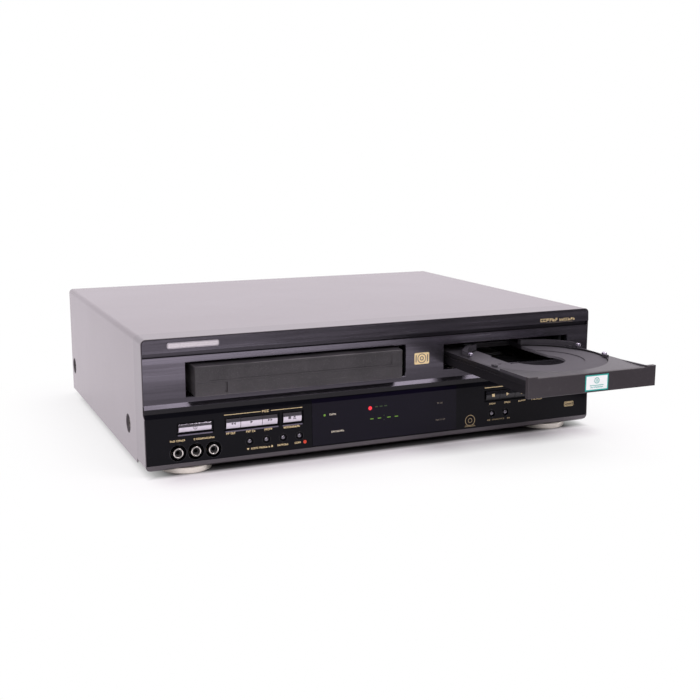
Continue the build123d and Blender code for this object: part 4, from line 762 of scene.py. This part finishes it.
def power_sign(bm):
    ring(bm, -173.2, TALL_KEY_Z, 1.7, 1.25)
    quad(bm, -173.5, -172.9, 38.4, 40.9)


def rewind_sign(bm):
    triangle(bm, -141.6, TAPE_KEY_Z, 1.3, 180)
    triangle(bm, -139.4, TAPE_KEY_Z, 1.3, 180)


def forward_sign(bm):
    triangle(bm, -109.8, TAPE_KEY_Z, 1.3, 0)
    triangle(bm, -107.6, TAPE_KEY_Z, 1.3, 0)


def eject_sign(bm):
    quad(bm, -92.2, -89.8, 37.0, 39.4)
    triangle(bm, -86.6, 38.6, 1.5, 90)
    quad(bm, -88.0, -85.2, 36.6, 37.2)


def pause_sign(bm):
    quad(bm, 139.7, 140.6, 37.2, 40.0)
    quad(bm, 141.8, 142.7, 37.2, 40.0)


def open_sign(bm):
    triangle(bm, 157.2, 39.2, 1.6, 90)
    quad(bm, 155.7, 158.7, 36.9, 37.5)


def play_sign(bm):
    triangle(bm, -125.2, TAPE_KEY_Z, 1.5, 0)


def disc_play_sign(bm):
    triangle(bm, 124.6, TALL_KEY_Z, 1.8, 0)


def disc_stop_sign(bm):
    quad(bm, 108.2, 110.9, 37.3, 39.9)


for sign_name, draw_sign, key_name, sign_z, ink in (
        ("power_sign", power_sign, "power_key", TALL_KEY_Z, dark_ink),
        ("rewind_sign", rewind_sign, "rewind_key", TAPE_KEY_Z, dark_ink),
        ("play_sign", play_sign, "play_key", TAPE_KEY_Z, dark_ink),
        ("forward_sign", forward_sign, "forward_key", TAPE_KEY_Z, dark_ink),
        ("eject_sign", eject_sign, "stop_eject_key", TAPE_KEY_Z, dark_ink),
        ("disc_stop_sign", disc_stop_sign, "disc_stop_key", TALL_KEY_Z, gold),
        ("disc_play_sign", disc_play_sign, "disc_play_key", TALL_KEY_Z, gold),
        ("disc_pause_sign", pause_sign, "disc_pause_key", TALL_KEY_Z, gold),
        ("disc_open_sign", open_sign, "disc_open_key", TALL_KEY_Z, gold)):
    marks(sign_name, draw_sign, key_face(sign_z), ink, key_name, 0.04, 0.3)


# ---------------------------------------------------------------- display
def display_dashes(bm):
    for x in (-14.2, -6.9, 2.4, 9.8):
        rounded(bm, x - 1.7, x + 1.7, 28.8, 29.6, 0.3)


def faint_marks(bm):
    for x in (-9.6, -5.2, -0.8):
        quad(bm, x - 1.4, x + 1.4, 39.2, 40.2)
    quad(bm, -2.7, -2.0, 30.8, 31.6)
    quad(bm, -2.7, -2.0, 27.0, 27.8)


def window_labels(bm):
    lettering(bm, -54.4, -48.4, 36.4, 37.8, 61, 1.2, 0.3)
    lettering(bm, -52.8, -40.6, 21.0, 22.4, 62, 1.2, 0.3)


def far_labels(bm):
    lettering(bm, 50.8, 56.6, 36.3, 37.6, 63, 1.2, 0.3)
    lettering(bm, 49.4, 58.4, 20.9, 22.2, 64, 1.2, 0.3)


for display_name, draw_marks, lamp in (
        ("red_light", lambda bm: disc(bm, -15.8, 38.9, 1.7), red_lamp),
        ("green_light", lambda bm: disc(bm, -59.0, 37.0, 1.0), green_lamp),
        ("display_dashes", display_dashes, green_lamp),
        ("faint_display_marks", faint_marks, faint_green),
        ("window_label_bars", window_labels, cream_ink),
        ("far_window_label_bars", far_labels, dim_ink)):
    marks(display_name, draw_marks, window_face, lamp, lift=0.04)


# ---------------------------------------------------------------- label on the tray front
def tray_label(bm):
    rounded(bm, 116.6, 139.4, 68.9, 82.1, 0.5)


def tray_label_rim(bm):
    rim_of(bm, 1.0, quad, 116.6, 139.4, 68.9, 82.1)


def tray_label_sign(bm):
    ring(bm, 128.0, 77.2, 2.5, 1.9)
    ring(bm, 128.0, 77.2, 1.0, 0.5)
    quad(bm, 121.2, 134.8, 73.0, 73.5)
    lettering(bm, 122.0, 134.2, 71.2, 72.3, 71, 1.1, 0.3)


tray_face = flat_face(FRONT_Y - TRAY_TRAVEL)
marks("tray_label", tray_label, tray_face, white_ink, "tray", 0.06)
marks("tray_label_rim", tray_label_rim, tray_face, teal_ink, "tray", 0.08)
marks("tray_label_sign", tray_label_sign, tray_face, teal_ink, "tray", 0.1)


# ---------------------------------------------------------------- disc clips on the tray
def clip(bm, x, y, z, size):
    """A small hook with well rounded edges."""
    place = Matrix.Translation((x, y, z)) @ Matrix.Diagonal((*size, 1))
    made = bmesh.ops.create_cube(bm, size=1.0, matrix=place)
    bmesh.ops.bevel(bm, geom=edges_of(made["verts"]), offset=min(size) * 0.42, offset_type="OFFSET",
                    affect="EDGES", segments=3, profile=0.5, material=-1)


disc_clips = bmesh.new()
for clip_x, ahead_of_front, clip_z in ((68.6, 30.0, 84.9), (182.2, 30.0, 85.2),
                                       (184.2, 66.5, 83.2)):
    clip(disc_clips, clip_x, FRONT_Y - ahead_of_front, clip_z, (3.4, 5.4, 3.6))
clip_finish = metal("clip_polish", (0.52, 0.49, 0.58, 1), 0.15, brush_scale=500.0, metallic=0.9)
finished("disc_clips", disc_clips, clip_finish, "tray")


# ---------------------------------------------------------------- screws of the rear panel
def screw(bm, x, z, radius, height):
    """A pan-head screw with a crossed slot, its head towards -y."""
    before = set(bm.verts)
    bmesh.ops.create_cone(bm, cap_ends=True, segments=24, radius1=radius, radius2=radius,
                          depth=height, matrix=Matrix.Rotation(radians(90), 4, "X"))
    rim = [pale_edge_bands for pale_edge_bands in bm.edges if before.isdisjoint(pale_edge_bands.verts)
           and all(vert.co.y < 0 for vert in pale_edge_bands.verts)]
    bmesh.ops.bevel(bm, geom=rim, offset=height * 0.45, affect="EDGES", segments=4, profile=0.5,
                    material=-1)
    for wide, tall in ((0.62, 0.1), (0.1, 0.62)):
        place = Matrix.Translation((0, -height / 2, 0)) @ Matrix.Diagonal(
            (2 * radius * wide, height * 0.1, 2 * radius * tall, 1))
        bmesh.ops.create_cube(bm, size=1.0, matrix=place)
    fresh = [vert for vert in bm.verts if vert not in before]
    bmesh.ops.translate(bm, vec=(x, 0, z), verts=fresh)


# They are made facing the front, at mirrored places, and turned round together.
rear_screws = bmesh.new()
for screw_x, screw_z in ((-206, 104), (0, 104), (206, 104), (-206, 12), (60, 12), (206, 12),
                         (-185, 62), (-98, 62)):
    screw(rear_screws, -screw_x, screw_z, 3.2, 1.9)
bmesh.ops.rotate(rear_screws, verts=rear_screws.verts, matrix=Matrix.Rotation(pi, 3, "Z"))
bmesh.ops.translate(rear_screws, verts=rear_screws.verts, vec=(0, REAR_Y + 0.9, 0))
rear_screw_metal = metal("burnished_screw", (0.3, 0.25, 0.2, 1), 0.36)
finished("rear_screws", rear_screws, rear_screw_metal, "case")

# ---------------------------------------------------------------- floor, light and camera
PAPER_CORNER = (0.33, -0.1, 0)
PAPER_TURN = radians(-14.5)
PAPER_HALF_SIZE = (1.8, 2.6)

floor_bm = bmesh.new()
bmesh.ops.create_grid(floor_bm, x_segments=2, y_segments=2, size=1.0)
bmesh.ops.transform(floor_bm, verts=floor_bm.verts,
                    matrix=Matrix.Translation(PAPER_CORNER) @ Matrix.Rotation(PAPER_TURN, 4, "Z")
                    @ Matrix.Translation((-PAPER_HALF_SIZE[0], 1.4, 0))
                    @ Matrix.Diagonal((*PAPER_HALF_SIZE, 1, 1)))
floor_mesh = bpy.data.meshes.new("studio_floor")
floor_bm.to_mesh(floor_mesh)
floor_bm.free()
floor = add_object("studio_floor", floor_mesh)

# White paper that glows where the camera or a mirror sees it. Close to the case it turns matte and
# takes a soft shadow, and below the case it is painted dark as a contact shadow.
paper = Finish("floor_paper")


def past(value, pale_edge_bands):
    """How far a value lies past an edge, in millimetres, up to a metre."""
    return paper.within(value, pale_edge_bands, pale_edge_bands + 1000.0) * 1000.0


camera_sees = paper.node("ShaderNodeLightPath", output="Is Camera Ray")
seen = camera_sees
for ray in ("Is Glossy Ray", "Is Transmission Ray"):
    seen = seen.maths("MAXIMUM", paper.node("ShaderNodeLightPath", output=ray))
aside = past(abs(paper.axis("X")), 190.0)
lengthways = past(abs(paper.axis("Y") - 30.0), 150.0)
away = (aside ** 2.0 + lengthways ** 2.0) ** 0.5
whiteness = paper.within(away, 0.0, 30.0) * 0.72 + paper.within(away, 30.0, 130.0) * 0.28
tinge = paper.mix(camera_sees, STUDIO_WHITE, WHITE)
# Painted shadow: below the case the paper's own colour is dark.
beside = paper.within(abs(paper.axis("X")), 206.0, 216.0)
ahead = paper.within(abs(paper.axis("Y") - 58.0), 163.0, 171.0)
paper_with_painted_shadow = paper.mix(beside.maths("MAXIMUM", ahead), (0.1, 0.1, 0.1, 1), (0.93, 0.93, 0.93, 1))
matte = paper.node("ShaderNodeBsdfDiffuse", {}, {"Color": paper_with_painted_shadow})
bright = paper.node("ShaderNodeEmission", {}, {"Color": tinge, "Strength": 1.0})
mixed = paper.node("ShaderNodeMixShader", {}, {0: seen * whiteness, 1: matte, 2: bright})
paper.node("ShaderNodeOutputMaterial", {}, {"Surface": mixed})
floor_mesh.materials.append(paper.material)

# A white room that is darker behind the camera.
world = bpy.data.worlds.new("studio")
bpy.context.scene.world = world
world.use_nodes = True
sky = Finish("studio", world.node_tree)
camera_ray = sky.node("ShaderNodeLightPath", output="Is Camera Ray")
sight = sky.node("ShaderNodeTexCoord", output="Generated")
depth = sky.node("ShaderNodeSeparateXYZ", {}, {0: sight}, "Y")
lit_side = sky.within(depth, -0.75, 0.1) * 0.92 + 0.08
strength = camera_ray.maths("MAXIMUM", lit_side)
sky_tinge = sky.mix(camera_ray, STUDIO_WHITE, WHITE)
backdrop = sky.node("ShaderNodeBackground", {}, {"Color": sky_tinge, "Strength": strength})
sky.node("ShaderNodeOutputWorld", {}, {"Surface": backdrop})


def softbox(name, place, aim, size, watts):
    """A rectangular lamp at a place, in metres, that looks at its aim."""
    lamp = bpy.data.lights.new(name, "AREA")
    lamp.shape = "RECTANGLE"
    lamp.size, lamp.size_y = size
    lamp.energy = watts
    lamp.color = STUDIO_WHITE[:3]
    holder = add_object(name, lamp)
    holder.location = place
    holder.rotation_euler = (Vector(aim) - Vector(place)).to_track_quat("-Z", "Y").to_euler()


softbox("overhead_softbox", (0.62, -0.95, 1.5), (0, 0, 0.05), (1.0, 0.8), 11.0)
softbox("front_softbox", (-0.45, -1.5, 0.95), (0, -0.1, 0.06), (1.0, 0.8), 9.0)
softbox("back_softbox", (0.15, 0.9, 1.5), (0, 0, 0.05), (1.4, 1.0), 4.0)
softbox("side_softbox", (-1.6, 0.1, 0.7), (-0.2, 0, 0.05), (1.0, 1.0), 3.0)

# The photo's own camera: its place in metres and its angles in radians.
camera_place = Vector((-0.39983, -0.92298, 0.26513))
heading, dip, roll = 0.420191, 0.191132, 0.00286
forward = Vector((sin(heading) * cos(dip), cos(heading) * cos(dip), -sin(dip)))
across = Vector((cos(heading), -sin(heading), 0.0))
upward = across.cross(forward)
right = across * cos(roll) + upward * sin(roll)
above = upward * cos(roll) - across * sin(roll)
lens = bpy.data.cameras.new("camera")
lens.sensor_width = 36.0
lens.lens = 54.6
lens.clip_start = 0.02
camera = add_object("camera", lens)
turned = Matrix((right, above, -forward)).transposed().to_4x4()
camera.matrix_world = Matrix.Translation(camera_place) @ turned
bpy.context.scene.camera = camera
bpy.context.scene.view_settings.view_transform = "Standard"
